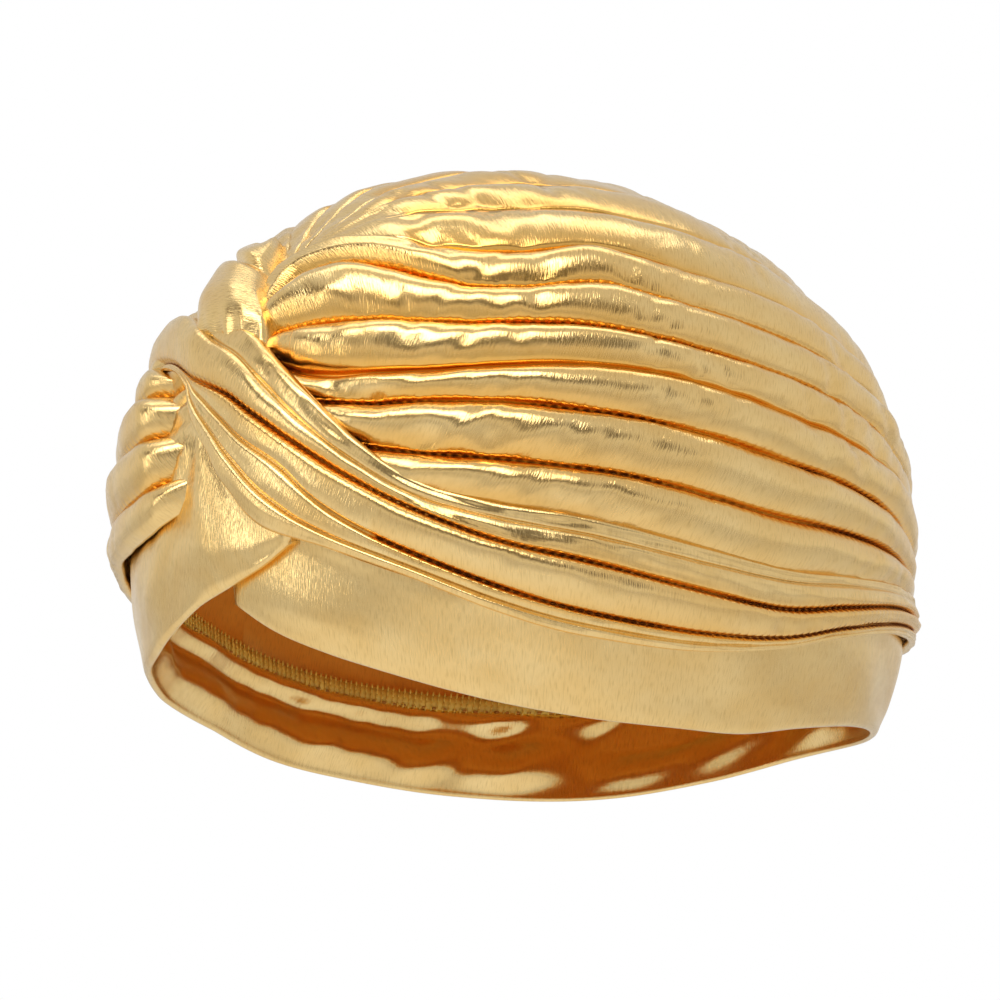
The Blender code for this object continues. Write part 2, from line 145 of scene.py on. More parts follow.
def pleat_direction(sweep, lift):
    """Directions from the form's centre for places on the knot-to-nape lines."""
    turn = ease((sweep / 180.0 - 0.25) / 0.5)
    tilt = KNOT_TILT + (NAPE_TILT - KNOT_TILT) * turn
    sweep, lift = np.radians(sweep), np.radians(lift)
    out, up, ahead = np.sin(sweep) * np.cos(lift), np.sin(sweep) * np.sin(lift), np.cos(sweep)
    return np.stack([
        out,
        -ahead * np.cos(tilt) + up * np.sin(tilt),
        ahead * np.sin(tilt) + up * np.cos(tilt),
    ], axis=-1)


# %% [markdown]
# Foil cloth is never smooth. Three kinds of unevenness are mixed: small puckers where a
# seam's thread is shorter than the cloth, slanting dents that strain makes, and slow
# swells. All three are coherent noise read on the cloth's own lengths, so they are as
# large on a narrow pleat as on a wide one and come out the same on every run.

# %% Unevenness of the cloth
PUCKER = dict(length=6.5 * MM, breadth=12.0 * MM, depth=0.48 * MM, reach=3.0 * MM)
DENT = dict(length=15.0 * MM, breadth=40.0 * MM, depth=0.75 * MM, slant=0.55,
            crossing_slant=0.9, crossing_share=0.7, clear_of_seam=2.5 * MM)
# Dents come in patches of about this size
PATCH = dict(length=45.0 * MM, breadth=30.0 * MM, contrast=1.6)
SWELL = dict(length=34.0 * MM, breadth=16.0 * MM, depth=0.7 * MM)


def noise_field(*axes):
    """Coherent noise, about -1 to 1, at many places given by up to three coordinates."""
    axes = np.broadcast_arrays(*axes)
    flat = [axis.ravel() for axis in axes] + [np.zeros(axes[0].size)] * (3 - len(axes))
    values = [noise.noise((a, b, c)) for a, b, c in zip(*flat)]
    return np.array(values).reshape(axes[0].shape)


def ridges(value):
    """Turn soft noise into narrow ridges along its zero lines."""
    return np.clip(1.0 - 3.0 * np.abs(value), 0.0, 1.0) ** 2


def unevenness(along, across, seam_distance, seam_number, seed):
    """How far cloth stands above or below its smooth shape, in metres."""
    pucker = noise_field(
        along / PUCKER["length"], 9.1 * seam_number + seed, across / PUCKER["breadth"])
    pucker = pucker * PUCKER["depth"] * np.exp(-seam_distance / PUCKER["reach"])
    slanted = along + DENT["slant"] * across
    steep = across - DENT["slant"] * along
    patch = noise_field(along / PATCH["length"], across / PATCH["breadth"], seed + 31.0)
    dent = ridges(noise_field(slanted / DENT["length"], steep / DENT["breadth"], seed + 3.0))
    slanted = along - DENT["crossing_slant"] * across
    crossing = ridges(noise_field(slanted / DENT["length"], across / DENT["breadth"], seed + 17.0))
    dent = (dent + DENT["crossing_share"] * crossing) * ease(0.5 + PATCH["contrast"] * patch)
    swell = noise_field(along / SWELL["length"], across / SWELL["breadth"], seed + 5.0)
    room = ease(seam_distance / DENT["clear_of_seam"])
    return pucker + room * (swell * SWELL["depth"] - dent * DENT["depth"])


for kind, sizes in (("puckers", PUCKER), ("dents", DENT), ("swells", SWELL)):
    print(f"{kind}: {1000 * sizes['length']:.1f} mm long, {1000 * sizes['depth']:.2f} mm deep")

# %% [markdown]
# Every cloth piece is a grid: rows run along the pleats and columns go across them. The
# grid becomes a mesh with its own UV map in metres, measured along and across the
# cloth, so the knit's lines keep their real pitch and always cross the pleats. A thin
# Solidify gives each its wall, as a modifier that would also suit hand modelling.

# %% From a grid of points to a cloth piece
CLOTH_WALL = 0.7 * MM
MERGE_DISTANCE = 0.02 * MM
# Stored as the seam distance where no sewn seam is near, in metres
FAR_FROM_SEAMS = 1.0
# How far the painted amber bounce light beside a seam reaches
PAINTED_BOUNCE_REACH = 1.3 * MM


def lengths(points, axis):
    """Distance along one axis of a grid, from its first line."""
    steps = np.linalg.norm(np.diff(points, axis=axis), axis=-1)
    start = np.zeros_like(np.take(steps, [0], axis=axis))
    return np.cumsum(np.concatenate([start, steps], axis=axis), axis=axis)


def grid_faces(rows, columns, ring=False):
    index = np.arange(rows * columns).reshape(rows, columns)
    if ring:
        index = np.concatenate([index, index[:, :1]], axis=1)
    corners = (index[:-1, :-1], index[1:, :-1], index[1:, 1:], index[:-1, 1:])
    return np.stack([corner.ravel() for corner in corners], axis=-1)


def mesh_from_grid(name, points, ring=False, drop=None, closed=False,
                   seam_distance=FAR_FROM_SEAMS, painted_bounce=None):
    """Mesh object of a grid of points; a face goes where drop marks all its corners."""
    rows, columns = points.shape[:2]
    faces = grid_faces(rows, columns, ring)
    along = np.repeat(lengths(points[:, columns // 2 : columns // 2 + 1], 0), columns, axis=1)
    across = lengths(points, 1)
    uv = np.stack([along, across], axis=-1).reshape(-1, 2)
    if drop is not None:
        faces = faces[~drop.ravel()[faces].all(axis=1)]
    data = bpy.data.meshes.new(name)
    data.from_pydata(points.reshape(-1, 3).tolist(), [], faces.tolist())
    layer = data.uv_layers.new(name="cloth")
    corner_uv = uv[faces.ravel()]
    if ring:
        seam_faces = (faces[:, 0] % columns == columns - 1).repeat(4)
        wrapped = seam_faces & (faces.ravel() % columns == 0)
        corner_uv[wrapped, 1] += across[:, -1].mean()
    layer.data.foreach_set("uv", corner_uv.ravel())
    # Painted bounce light, fading with the distance from a sewn seam unless it is given
    if painted_bounce is None:
        painted_bounce = np.exp(-seam_distance / PAINTED_BOUNCE_REACH)
    for label, values in (("seam_distance", seam_distance), ("painted_bounce", painted_bounce)):
        stored = data.attributes.new(label, "FLOAT", "POINT")
        stored.data.foreach_set("value", (values + np.zeros((rows, columns))).ravel())
    piece = bpy.data.objects.new(name, data)
    bpy.context.scene.collection.objects.link(piece)
    tidy_mesh(data, turn_outward=not closed)
    data.shade_smooth()
    return piece


def tidy_mesh(data, turn_outward):
    """Merge doubles and turn all faces outwards, for an open sheet away from the head form."""
    mesh = bmesh.new()
    mesh.from_mesh(data)
    bmesh.ops.remove_doubles(mesh, verts=mesh.verts, dist=MERGE_DISTANCE)
    bmesh.ops.dissolve_degenerate(mesh, edges=mesh.edges, dist=MERGE_DISTANCE)
    loose = [vert for vert in mesh.verts if not vert.link_faces]
    bmesh.ops.delete(mesh, geom=loose, context="VERTS")
    bmesh.ops.recalc_face_normals(mesh, faces=mesh.faces)
    if turn_outward:
        centres = np.array([face.calc_center_median() for face in mesh.faces])
        normals = np.array([face.normal for face in mesh.faces])
        if (form_normal(centres) * normals).sum() < 0.0:
            bmesh.ops.reverse_faces(mesh, faces=mesh.faces)
    mesh.to_mesh(data)
    mesh.free()


def give_wall(piece):
    """Thicken a cloth surface towards its inside, whose faces take the second material."""
    solidify = piece.modifiers.new("cloth_wall", "SOLIDIFY")
    solidify.thickness = CLOTH_WALL
    solidify.offset = -1.0
    solidify.material_offset = 1
    bake_modifiers(piece)


def bake_modifiers(piece):
    """Replace a piece's mesh by what its modifiers make of it."""
    graph = bpy.context.evaluated_depsgraph_get()
    graph.update()
    data = bpy.data.meshes.new_from_object(piece.evaluated_get(graph))
    piece.modifiers.clear()
    old, piece.data = piece.data, data
    data.name = piece.name
    bpy.data.meshes.remove(old)


def finished(piece, *materials):
    """Give a piece its materials, outside first, and say how fine it is."""
    for material in materials:
        piece.data.materials.append(material)
    triangles = sum(len(face.vertices) - 2 for face in piece.data.polygons)
    print(f"{piece.name}: {triangles} triangles")
    return piece


# %% [markdown]
# Materials and stitches are both trees of nodes. Adding a node by hand takes one line to
# create it, one for each value and one for each link. A small helper says the same in one
# call, in which an input is given a plain value or another node's output.

# %% Short ways to add nodes
class NodeMaker:
    """Adds nodes to one tree."""

    def __init__(self, tree):
        self.tree = tree

    def fill(self, socket, value):
        """Link a socket to another node's output, or store a plain value in it."""
        if isinstance(value, bpy.types.NodeSocket):
            self.tree.links.new(value, socket)
        elif socket.type == "RGBA" and len(value) == 3:
            socket.default_value = (*value, 1.0)
        else:
            socket.default_value = value

    def add(self, kind, inputs=(), **settings):
        node = self.tree.nodes.new(kind)
        for name, value in settings.items():
            setattr(node, name, value)
        for socket, value in dict(inputs).items():
            self.fill(node.inputs[socket], value)
        return node

    def calculate(self, operation, *values):
        step = self.add("ShaderNodeMath", enumerate(values), operation=operation)
        return step.outputs["Value"]

    def spread(self, value, low, high, start=0.0, end=1.0):
        """Turn start to end into low to high, and keep level beyond both."""
        ramp = self.add("ShaderNodeMapRange", {
            "Value": value, "From Min": start, "From Max": end, "To Min": low, "To Max": high})
        return ramp.outputs["Result"]

    def mixed(self, factor, first, second):
        mix = self.add(
            "ShaderNodeMix", {"Factor": factor, "A": first, "B": second}, data_type="RGBA")
        return mix.outputs["Result"]


def new_material(name, inputs):
    """A material with plain values on its shader, the maker of its nodes, and its shader."""
    material = bpy.data.materials.new(name)
    material.use_nodes = True
    maker = NodeMaker(material.node_tree)
    shader = material.node_tree.nodes["Principled BSDF"]
    for socket, value in inputs.items():
        maker.fill(shader.inputs[socket], value)
    return material, maker, shader


# %% [markdown]
# The foil is a very thin metal print on jersey. It shines like metal, but the knit's
# fine lines break the shine into short sparks, and the print is worn a little duller in
# places. Beside a seam the stitches pull the foil down, so the cloth puffs up and the seam
# gapes between them. Each piece stores how far its points lie from the nearest seam, and
# the material reads that to paint the gaps dark, as painted shade. Close to a seam, and
# under the full pleats of the front, foil turns amber, because its light has bounced from
# gold to gold. Each piece stores that warmth too, and the material paints it into the
# foil's colour as painted bounce light. The foil is printed on one side only, so the inside
# of the crown is the jersey's own amber knit; its deeper orange is partly the knit's own and
# partly painted bounce light of the gold hollow. The doubled band shows foil on both faces.
# The thread is matt. The seam thread is darkened as painted shade of its slits, and the
# overlock thread is brightened as painted light, because it lies in shadow inside the band.
# Bump carries only the knit and the small puffs between stitches, which are far finer
# than any fold.

# %% Foil and thread materials
KNIT_PITCH = 0.55 * MM
STITCH_PITCH = 2.4 * MM
# Spots in a metre of each kind of noise, along and across the cloth
THREAD_LINES = (1.7 / KNIT_PITCH, 0.20 / KNIT_PITCH)
GRAIN = (2.6 / KNIT_PITCH, 1.8 / KNIT_PITCH)
WORN_PATCHES = (60.0, 90.0)
OPEN_STRETCHES = (32.0, 60.0)
# Half a seam's gap, filled with painted shade, at a stitch, how much it opens between stitches, and its
# soft edge
GAP = dict(at_stitch=0.10 * MM, open=0.30 * MM, softness=0.25 * MM, least_open=0.15)
# The cloth puffs up between the stitches
LUMP = dict(height=0.17 * MM, reach=1.5 * MM)
# Painted shade: the dark brown that fills a seam's gap
PAINTED_SLIT_SHADE = (0.26, 0.08, 0.012)
# Painted bounce light: the foil's colour in the warm light beside a seam, and how much of it is painted
# there
PAINTED_BOUNCE = dict(colour=(0.92, 0.46, 0.06), share=0.85)
# How much the noises shift each look; a range's ends are its values at noise 0 and 1
GRAIN_SHARE = 0.15
OPEN_RANGE = (-1.0, 2.2)
WORN_RANGE = (-0.4, 1.4)
GROOVE_RANGE = (0.75, -0.75)
SMOOTHER, ROUGHER, ROUGHER_IN_GAPS = 0.05, 0.09, 0.35
# Fibres of thread: spots in a metre, share of the colour between them, and depth
FIBRES = dict(spots=900.0, shade=0.7, depth=0.1 * MM)


def painted_seam_shade_and_lumps(maker, along, distance, opened):
    """How much painted shade darkens the gap at a seam, and how high the cloth puffs up between stitches.
    """
    do = maker.calculate
    between = do("ABSOLUTE", do("SINE", do("MULTIPLY", along, math.pi / STITCH_PITCH)))
    opened = do("MINIMUM", do("MAXIMUM", opened, GAP["least_open"]), 1.0)
    edge = do("MULTIPLY", do("MULTIPLY_ADD", between, GAP["open"], GAP["at_stitch"]), opened)
    dark = do("DIVIDE", do("SUBTRACT", edge, distance), GAP["softness"])
    dark = do("MINIMUM", do("MAXIMUM", do("ADD", dark, 0.5), 0.0), 1.0)
    near = do("DIVIDE", distance, LUMP["reach"])
    fade = do("EXPONENT", do("MULTIPLY", do("MULTIPLY", near, near), -1.0))
    return dark, do("MULTIPLY", do("MULTIPLY", between, fade), LUMP["height"])


def foil_material(name, bright, worn, groove, roughness, knit_depth, metallic=1.0):
    """A metal print on knit, whose fine lines run across the pleats."""
    material, maker, shader = new_material(name, {"Metallic": metallic})
    do = maker.calculate
    uv = maker.add("ShaderNodeUVMap", uv_map="cloth").outputs["UV"]

    def speckle(spots, detail=1.0):
        place = maker.add("ShaderNodeMapping", {"Vector": uv, "Scale": (*spots, 1.0)})
        texture = maker.add("ShaderNodeTexNoise", {
            "Vector": place.outputs["Vector"], "Scale": 1.0, "Detail": detail})
        return texture.outputs["Fac"]

    def stored(label):
        return maker.add("ShaderNodeAttribute", attribute_name=label).outputs["Fac"]

    along = maker.add("ShaderNodeSeparateXYZ", {"Vector": uv}).outputs["X"]
    opened = maker.spread(speckle(OPEN_STRETCHES), *OPEN_RANGE)
    dark, lumps = painted_seam_shade_and_lumps(maker, along, stored("seam_distance"), opened)

    threads, patches = speckle(THREAD_LINES), speckle(WORN_PATCHES, detail=3.0)
    knit = do("MULTIPLY_ADD", speckle(GRAIN), GRAIN_SHARE, threads)
    height = do("MULTIPLY_ADD", knit, knit_depth, lumps)
    bump = maker.add("ShaderNodeBump", {"Height": height, "Strength": 1.0, "Distance": 1.0})
    maker.fill(shader.inputs["Normal"], bump.outputs["Normal"])

    tone = maker.mixed(maker.spread(patches, *WORN_RANGE), bright, worn)
    lined = maker.mixed(maker.spread(threads, *GROOVE_RANGE), tone, groove)
    # Painted bounce light turns the foil amber near seams, then painted shade darkens their gaps
    with_painted_bounce = maker.mixed(do("MULTIPLY", stored("painted_bounce"), PAINTED_BOUNCE["share"]), lined, PAINTED_BOUNCE["colour"])
    maker.fill(shader.inputs["Base Color"], maker.mixed(dark, with_painted_bounce, PAINTED_SLIT_SHADE))
    rough = maker.spread(patches, roughness - SMOOTHER, roughness + ROUGHER)
    maker.fill(shader.inputs["Roughness"], do("MULTIPLY_ADD", dark, ROUGHER_IN_GAPS, rough))
    return material


def thread_material(name, colour):
    """Matt thread with a fine speckle of fibres."""
    material, maker, shader = new_material(name, {"Roughness": 0.55})
    place = maker.add("ShaderNodeTexCoord").outputs["Object"]
    fibres = maker.add("ShaderNodeTexNoise", {"Vector": place, "Scale": FIBRES["spots"]})
    fibres = fibres.outputs["Fac"]
    shade = tuple(FIBRES["shade"] * part for part in colour)
    maker.fill(shader.inputs["Base Color"], maker.mixed(fibres, shade, colour))
    bump = maker.add("ShaderNodeBump", {"Height": fibres, "Distance": FIBRES["depth"]})
    maker.fill(shader.inputs["Normal"], bump.outputs["Normal"])
    return material


foil = foil_material(
    "foil_outside", (0.98, 0.72, 0.33), (0.91, 0.60, 0.22), (0.56, 0.33, 0.10), 0.18, 0.09 * MM)
# The inside's deeper orange is partly the knit's own and partly painted bounce light of the gold hollow
inside_knit_painted_bounce = foil_material(
    "inside_knit_painted_bounce", (0.93, 0.46, 0.06), (0.82, 0.37, 0.04), (0.55, 0.23, 0.02), 0.50, 0.08 * MM,
    metallic=0.4)
# Amber seam thread, darkened as painted shade of its slits; yellow overlock thread, brightened as painted
# light because it lies in shadow inside the band
shaded_seam_thread = thread_material("seam_thread_painted_shade", (0.62, 0.27, 0.03))
overlock_thread = thread_material("overlock_thread", (1.0, 0.68, 0.11))
for material in (foil, inside_knit_painted_bounce, shaded_seam_thread, overlock_thread):
    print(f"{material.name}: {len(material.node_tree.nodes)} nodes")

# %% [markdown]
# The crown is one sheet of cloth with a seam between each two pleats. Across a pleat the
# cloth starts deep in the seam above, rises steeply to a crest in its upper third, falls
# off more slowly and tucks into the next seam, over which it droops a little. That section is
# one short formula, and the crown repeats it between seams whose places come from the
# seam tables. In the photo the crests sway and swell along the pleats, so they do here.

# %% Crown seams and the section of one pleat
CROWN_SWEEPS = (15.0, 30.0, 60.0, 100.0, 145.0)
CrownSeam = namedtuple("CrownSeam", "at_knot front temple ear nape depth")
LEFT_SEAMS = (
    CrownSeam(-62, -42, -19, -8, -1, 1.0),
    CrownSeam(-45, -29, -9, 1, 5, 1.0),
    CrownSeam(-30, -14, 2, 10, 11, 1.0),
    CrownSeam(-14, -4, 11, 18, 20, 0.75),
    CrownSeam(16, 13, 19, 25, 27, 1.0),
    CrownSeam(62, 31, 29, 33, 36, 1.0),
)
RIGHT_SEAMS = (
    CrownSeam(-40, -12, 2, 2, 3, 1.0),
    CrownSeam(-18, 2, 11, 12, 12, 1.0),
    CrownSeam(16, 16, 20, 22, 23, 1.0),
    CrownSeam(62, 32, 30, 33, 35, 1.0),
)
TOP_CREASES = (
    CrownSeam(83, 45, 38, 41, 44, 0.8),
    CrownSeam(86, 60, 50, 52, 54, 0.6),
    CrownSeam(88, 71, 63, 64, 65, 0.5),
    CrownSeam(89, 81, 77, 77, 78, 0.4),
)
# The crease along the top, at which the left pleats meet the right ones
RIDGE_LIFT = 90.0
RIDGE_DEPTH = 0.4
# Sweeps between which the creases of the top open out of the smooth cloth beside the loop
TOP_FADE = (22.0, 48.0)

# Where a pleat's columns lie, from the seam above at 0 to the seam below at 1
FOLD_PLACES = (0.0, 0.02, 0.05, 0.10, 0.17, 0.26, 0.36, 0.46, 0.56, 0.66, 0.75, 0.83, 0.90, 0.95, 0.98)
FOLD_CREST = 0.33
UPPER_FULLNESS = 2.1
LOWER_FULLNESS = 1.6
FOLD_ROUNDNESS = 0.56
# How the crest wanders across a pleat, and how its height varies, along the pleat
SWAY = dict(share=0.13, length=19.0 * MM)
SWELLING = dict(share=0.3, length=27.0 * MM)
# How far a pleat hangs over the one below it, for its height
DROOP = 0.30
PLEAT_RISE = 4.0 * MM
PLEAT_RISE_PER_WIDTH = 0.34
# The seam cuts this deep between full pleats, and less between ones lower than full_rise
SLIT = dict(depth=1.5 * MM, half_width=0.5 * MM, full_rise=1.2 * MM)
# Seams deeper than this are sewn, the others are only creases
SEWN_DEPTH = 0.85


def fold_height(place, crest):
    """Height of a pleat's round section, 0 at its seams and 1 at its crest."""
    upper = np.clip((crest - place) / crest, 0.0, 1.0) ** UPPER_FULLNESS
    lower = np.clip((place - crest) / (1.0 - crest), 0.0, 1.0) ** LOWER_FULLNESS
    return (1.0 - np.maximum(upper, lower)) ** FOLD_ROUNDNESS


def pleat_standoff(place, near, seam_depth, rise, along, number, seed):
    """Standoff of pleated cloth whose crest sways and whose height varies along it."""
    crest = FOLD_CREST + SWAY["share"] * noise_field(along / SWAY["length"], 5.3 * number + seed)
    fuller = noise_field(along / SWELLING["length"], 3.1 * number + seed + 9.0)
    height = fold_height(place, crest)
    height = height + (1.0 - seam_depth) * (1.0 - height)
    slit = SLIT["depth"] * seam_depth * np.exp(-(near / SLIT["half_width"]) ** 2)
    slit = slit * np.clip(rise / SLIT["full_rise"], 0.0, 1.0)
    return rise * (1.0 + SWELLING["share"] * fuller) * height - slit


def seam_lift(seam, sweep):
    return read_table(sweep, CROWN_SWEEPS, seam[:5])


def crown_seam_lines(sweep):
    """Lift of every seam at every sweep, from the left seam over the top, and its depth."""
    gone_at, whole_at = TOP_FADE
    opened = ease((sweep - gone_at) / (whole_at - gone_at))
    lines = [(np.full_like(sweep, RIDGE_LIFT), RIDGE_DEPTH * opened)]
    for seams, fade in ((LEFT_SEAMS, 1.0 + 0.0 * sweep), (TOP_CREASES, opened)):
        lines += [(seam_lift(seam, sweep), seam.depth * fade) for seam in seams]
    for seams, fade in ((RIGHT_SEAMS, 1.0 + 0.0 * sweep), (TOP_CREASES, opened)):
        lines += [(2.0 * RIDGE_LIFT - seam_lift(seam, sweep), seam.depth * fade) for seam in seams]
    return sorted(lines, key=lambda line: line[0].mean())


print("crown:", len(LEFT_SEAMS + RIGHT_SEAMS), "seams and", 2 * len(TOP_CREASES) + 1, "creases")

# %% Crown grid
CROWN_STATIONS = 176
# Below 1, stations lie closer together at the front
FRONT_DENSITY = 0.70
UNDER_COLUMNS = 24
# Number of the plain cloth below the lowest seams, under the wraps
PLAIN_CLOTH = -1.0
CROWN_BELOW_SEAM = 1.5 * MM
CROWN_BEHIND_BAND = 0.4 * MM
# Painted amber bounce light reaches further up the undersides of the front pleats
UNDERSIDE = dict(reach=4.6 * MM, from_sweep=40.0, over_sweep=50.0, from_place=0.4, over_place=0.3,
                 least_depth=0.2)
# Pleats stand higher for their width where the knot gathers them
GATHER = dict(rise=6.2 * MM, per_width=0.50, from_sweep=12.0, over_sweep=44.0)


def crown_columns(sweep):
    """Lift, rise, seam depth, place, distance to the nearest seam and pleat number, by column."""
    lines = crown_seam_lines(sweep)
    girth = np.sin(np.radians(sweep)) * 0.5 * (HALF_LENGTH_FRONT + HALF_LENGTH_BACK)
    gathered = 1.0 - ease((sweep - GATHER["from_sweep"]) / GATHER["over_sweep"])
    most = PLEAT_RISE + gathered * (GATHER["rise"] - PLEAT_RISE)
    slope = PLEAT_RISE_PER_WIDTH + gathered * (GATHER["per_width"] - PLEAT_RISE_PER_WIDTH)
    flat = 0.0 * sweep
    columns = []
    for number, ((low, low_depth), (high, high_depth)) in enumerate(zip(lines, lines[1:])):
        width = np.radians(high - low) * girth
        rise = np.minimum(most, slope * width)
        on_left = low.mean() < RIDGE_LIFT - 1.0
        for place in FOLD_PLACES[::-1] if on_left else FOLD_PLACES:
            share = 1.0 - place if on_left else place
            depth = low_depth if share < 0.5 else high_depth
            near = np.minimum(share, 1.0 - share) * width
            columns.append((
                low + share * (high - low), rise, depth, place + flat, near, number + flat))
    low, high = lines[-1][0], lines[0][0] + 360.0
    for index in range(1, UNDER_COLUMNS):
        columns.append((
            low + index / UNDER_COLUMNS * (high - low), flat, flat, flat, FAR_FROM_SEAMS + flat,
            PLAIN_CLOTH + flat))
    return columns


# %% Seam between crown and band
SeamPoint = namedtuple("SeamPoint", "around height")
BAND_SEAM = (
    SeamPoint(-180, 34), SeamPoint(-150, 26), SeamPoint(-120, 24), SeamPoint(-90, 27),
    SeamPoint(-60, 36), SeamPoint(-30, 44), SeamPoint(0, 47), SeamPoint(15, 42),
    SeamPoint(28, 34), SeamPoint(40, 28), SeamPoint(55, 24), SeamPoint(90, 23),
    SeamPoint(110, 27), SeamPoint(130, 31), SeamPoint(155, 34), SeamPoint(180, 34),
)


def seam_height(around):
    around = (np.asarray(around, float) + 180.0) % 360.0 - 180.0
    heights = [point.height for point in BAND_SEAM]
    return read_table(around, [point.around for point in BAND_SEAM], heights) * MM


def around_of(point):
    return np.degrees(np.arctan2(point[..., 0], -point[..., 1]))


print(f"seam over the ears: {1000 * float(seam_height(90.0)):.0f} mm above the hem's lowest point")

# %% Hollows and pinches
Hollow = namedtuple("Hollow", "sweep lift long wide depth")
# Places pressed in, or lifted where the depth is below zero: reach in degrees, depth in mm
HOLLOWS = (
    Hollow(22, -14, 10.0, 4.5, 1.6), Hollow(18, 30, 2.2, 6.0, -1.0),
    Hollow(33, 42, 2.0, 3.6, 1.5), Hollow(47, 21, 1.7, 3.4, 1.4), Hollow(38, -18, 1.9, 3.0, 1.5),
    Hollow(42, -14, 1.8, 3.6, -1.0), Hollow(46, -12, 2.0, 3.0, 1.4), Hollow(51, -9, 1.6, 2.6, -0.8),
    Hollow(58, -16, 1.8, 2.6, 1.1), Hollow(66, -12, 2.0, 2.4, 0.9), Hollow(62, 33, 2.0, 3.0, 1.0),
)


def pressed(sweep, lift):
    depth = 0.0
    for hollow in HOLLOWS:
        aside = ((sweep - hollow.sweep) / hollow.long) ** 2 + ((lift - hollow.lift) / hollow.wide) ** 2
        depth = depth + hollow.depth * MM * np.exp(-aside)
    return depth


# %% Make the crown
# The pleats' unevenness dies out where all seams meet, at the knot and at the nape
CALM_ENDS = 0.35


def crown_painted_bounce(sweep, depth, place, near):
    """Painted amber bounce light on the foil beside the crown's seams and creases."""
    front = 1.0 - ease((sweep - UNDERSIDE["from_sweep"]) / UNDERSIDE["over_sweep"])
    under = ease((place - UNDERSIDE["from_place"]) / UNDERSIDE["over_place"])
    reach = PAINTED_BOUNCE_REACH + UNDERSIDE["reach"] * front * under
    return np.exp(-np.where(depth > UNDERSIDE["least_depth"], near, FAR_FROM_SEAMS) / reach)


def make_crown():
    place_along = np.linspace(0.0, 1.0, CROWN_STATIONS)
    sweep = 180.0 * place_along * (FRONT_DENSITY + (1.0 - FRONT_DENSITY) * place_along)
    columns = crown_columns(sweep)
    lift, rise, depth, place, near, number = (
        np.stack([column[part] for column in columns], axis=1) for part in range(6))
    sweep = sweep[:, None]
    base = form_by_direction(pleat_direction(sweep, lift))
    along = np.repeat(lengths(base[:, :1], 0), len(columns), axis=1)
    across = lengths(base, 1)
    ends = ease(np.sin(np.radians(sweep)) / CALM_ENDS)
    uneven = ends * unevenness(along, across, near, number, seed=1.0)
    plain = number == PLAIN_CLOTH
    pleat = np.where(plain, 0.0, pleat_standoff(place, near, depth, rise, along, number, 1.0))
    points = lifted(base, np.where(plain, 0.0, pleat + uneven - pressed(sweep, lift)))
    points = points + (ends * DROOP * np.maximum(pleat, 0.0))[..., None] * downhill(base)
    around = around_of(base)
    lower_edge = seam_height(around) - CROWN_BELOW_SEAM
    below = base[..., 2] < lower_edge
    edge = lifted(form_by_height(around, lower_edge), 0.0 * lower_edge - CROWN_BEHIND_BAND)
    points = np.where(below[..., None], edge, points)
    return mesh_from_grid(
        "crown_cloth", points, ring=True, drop=below,
        seam_distance=np.where(depth > SEWN_DEPTH, near, FAR_FROM_SEAMS),
        painted_bounce=crown_painted_bounce(sweep, depth, place, near))


crown_cloth = finished(make_crown(), foil, inside_knit_painted_bounce)

# %% [markdown]
# The two wraps are the widest gathers. They leave the knot, cross the sides of the head
# below the crown's lowest pleats and meet at the nape. Each is a strip of pleats with its
# own seams and a thin fold along its upper edge. Its long edges are folded under, so it
# lies on the crown like a soft roll, and its front end turns under into the knot.

# %% Wrap tables
# Places of both edges, the lines between the pleats as shares of the way down, and the
# inner face's standoff in mm. An upper height of None follows the crown's lowest seam.
WrapRow = namedtuple("WrapRow", "upper_around upper lower_around lower fold first second third inside")
LEFT_WRAP = (
    WrapRow(-56, 84, -54, 79, 0.10, 0.88, 0.93, 0.97, 0.6),
    WrapRow(-40, 93, -38, 85, 0.10, 0.90, 0.94, 0.97, 2.6),
    WrapRow(-26, 98, -23, 86.5, 0.10, 0.92, 0.95, 0.98, 4.4),
    WrapRow(-15, 98.5, -13, 84.5, 0.12, 0.90, 0.94, 0.97, 4.6),
    WrapRow(-8, 96, -6, 79, 0.16, 0.84, 0.90, 0.95, 4.6),
    WrapRow(-1, 92.3, -2.5, 71, 0.20, 0.64, 0.76, 0.88, 4.6),
    WrapRow(7, 88.2, 2, 62, 0.22, 0.52, 0.70, 0.84, 4.6),
    WrapRow(14, 79.6, 6.5, 52.5, 0.20, 0.42, 0.62, 0.80, 4.6),
    WrapRow(20, 71.3, 12.5, 43, 0.19, 0.35, 0.55, 0.79, 4.4),
    WrapRow(27, 61, 22, 37.5, 0.18, 0.33, 0.68, 0.88, 4.2),
    WrapRow(35, 52.5, 33, 31, 0.16, 0.32, 0.75, 0.90, 4.2),
    WrapRow(46, 47.5, 47, 22.5, 0.15, 0.36, 0.77, 0.90, 3.6),
    WrapRow(60, None, 60, 18, 0.16, 0.38, 0.80, 0.91, 1.8),
    WrapRow(78, None, 78, 16.5, 0.16, 0.42, 0.82, 0.92, 1.2),
    WrapRow(96, None, 96, 19.5, 0.16, 0.50, 0.86, 0.94, 1.2),
    WrapRow(112, None, 112, 25, 0.16, 0.50, 0.84, 0.93, 1.2),
    WrapRow(130, None, 130, 30, 0.16, 0.46, 0.80, 0.91, 1.2),
    WrapRow(148, None, 148, 32, 0.16, 0.40, 0.72, 0.88, 1.2),
    WrapRow(164, None, 164, 32.5, 0.16, 0.37, 0.66, 0.85, 1.2),
    WrapRow(179.8, None, 179.8, 33, 0.16, 0.34, 0.62, 0.82, 1.2),
)
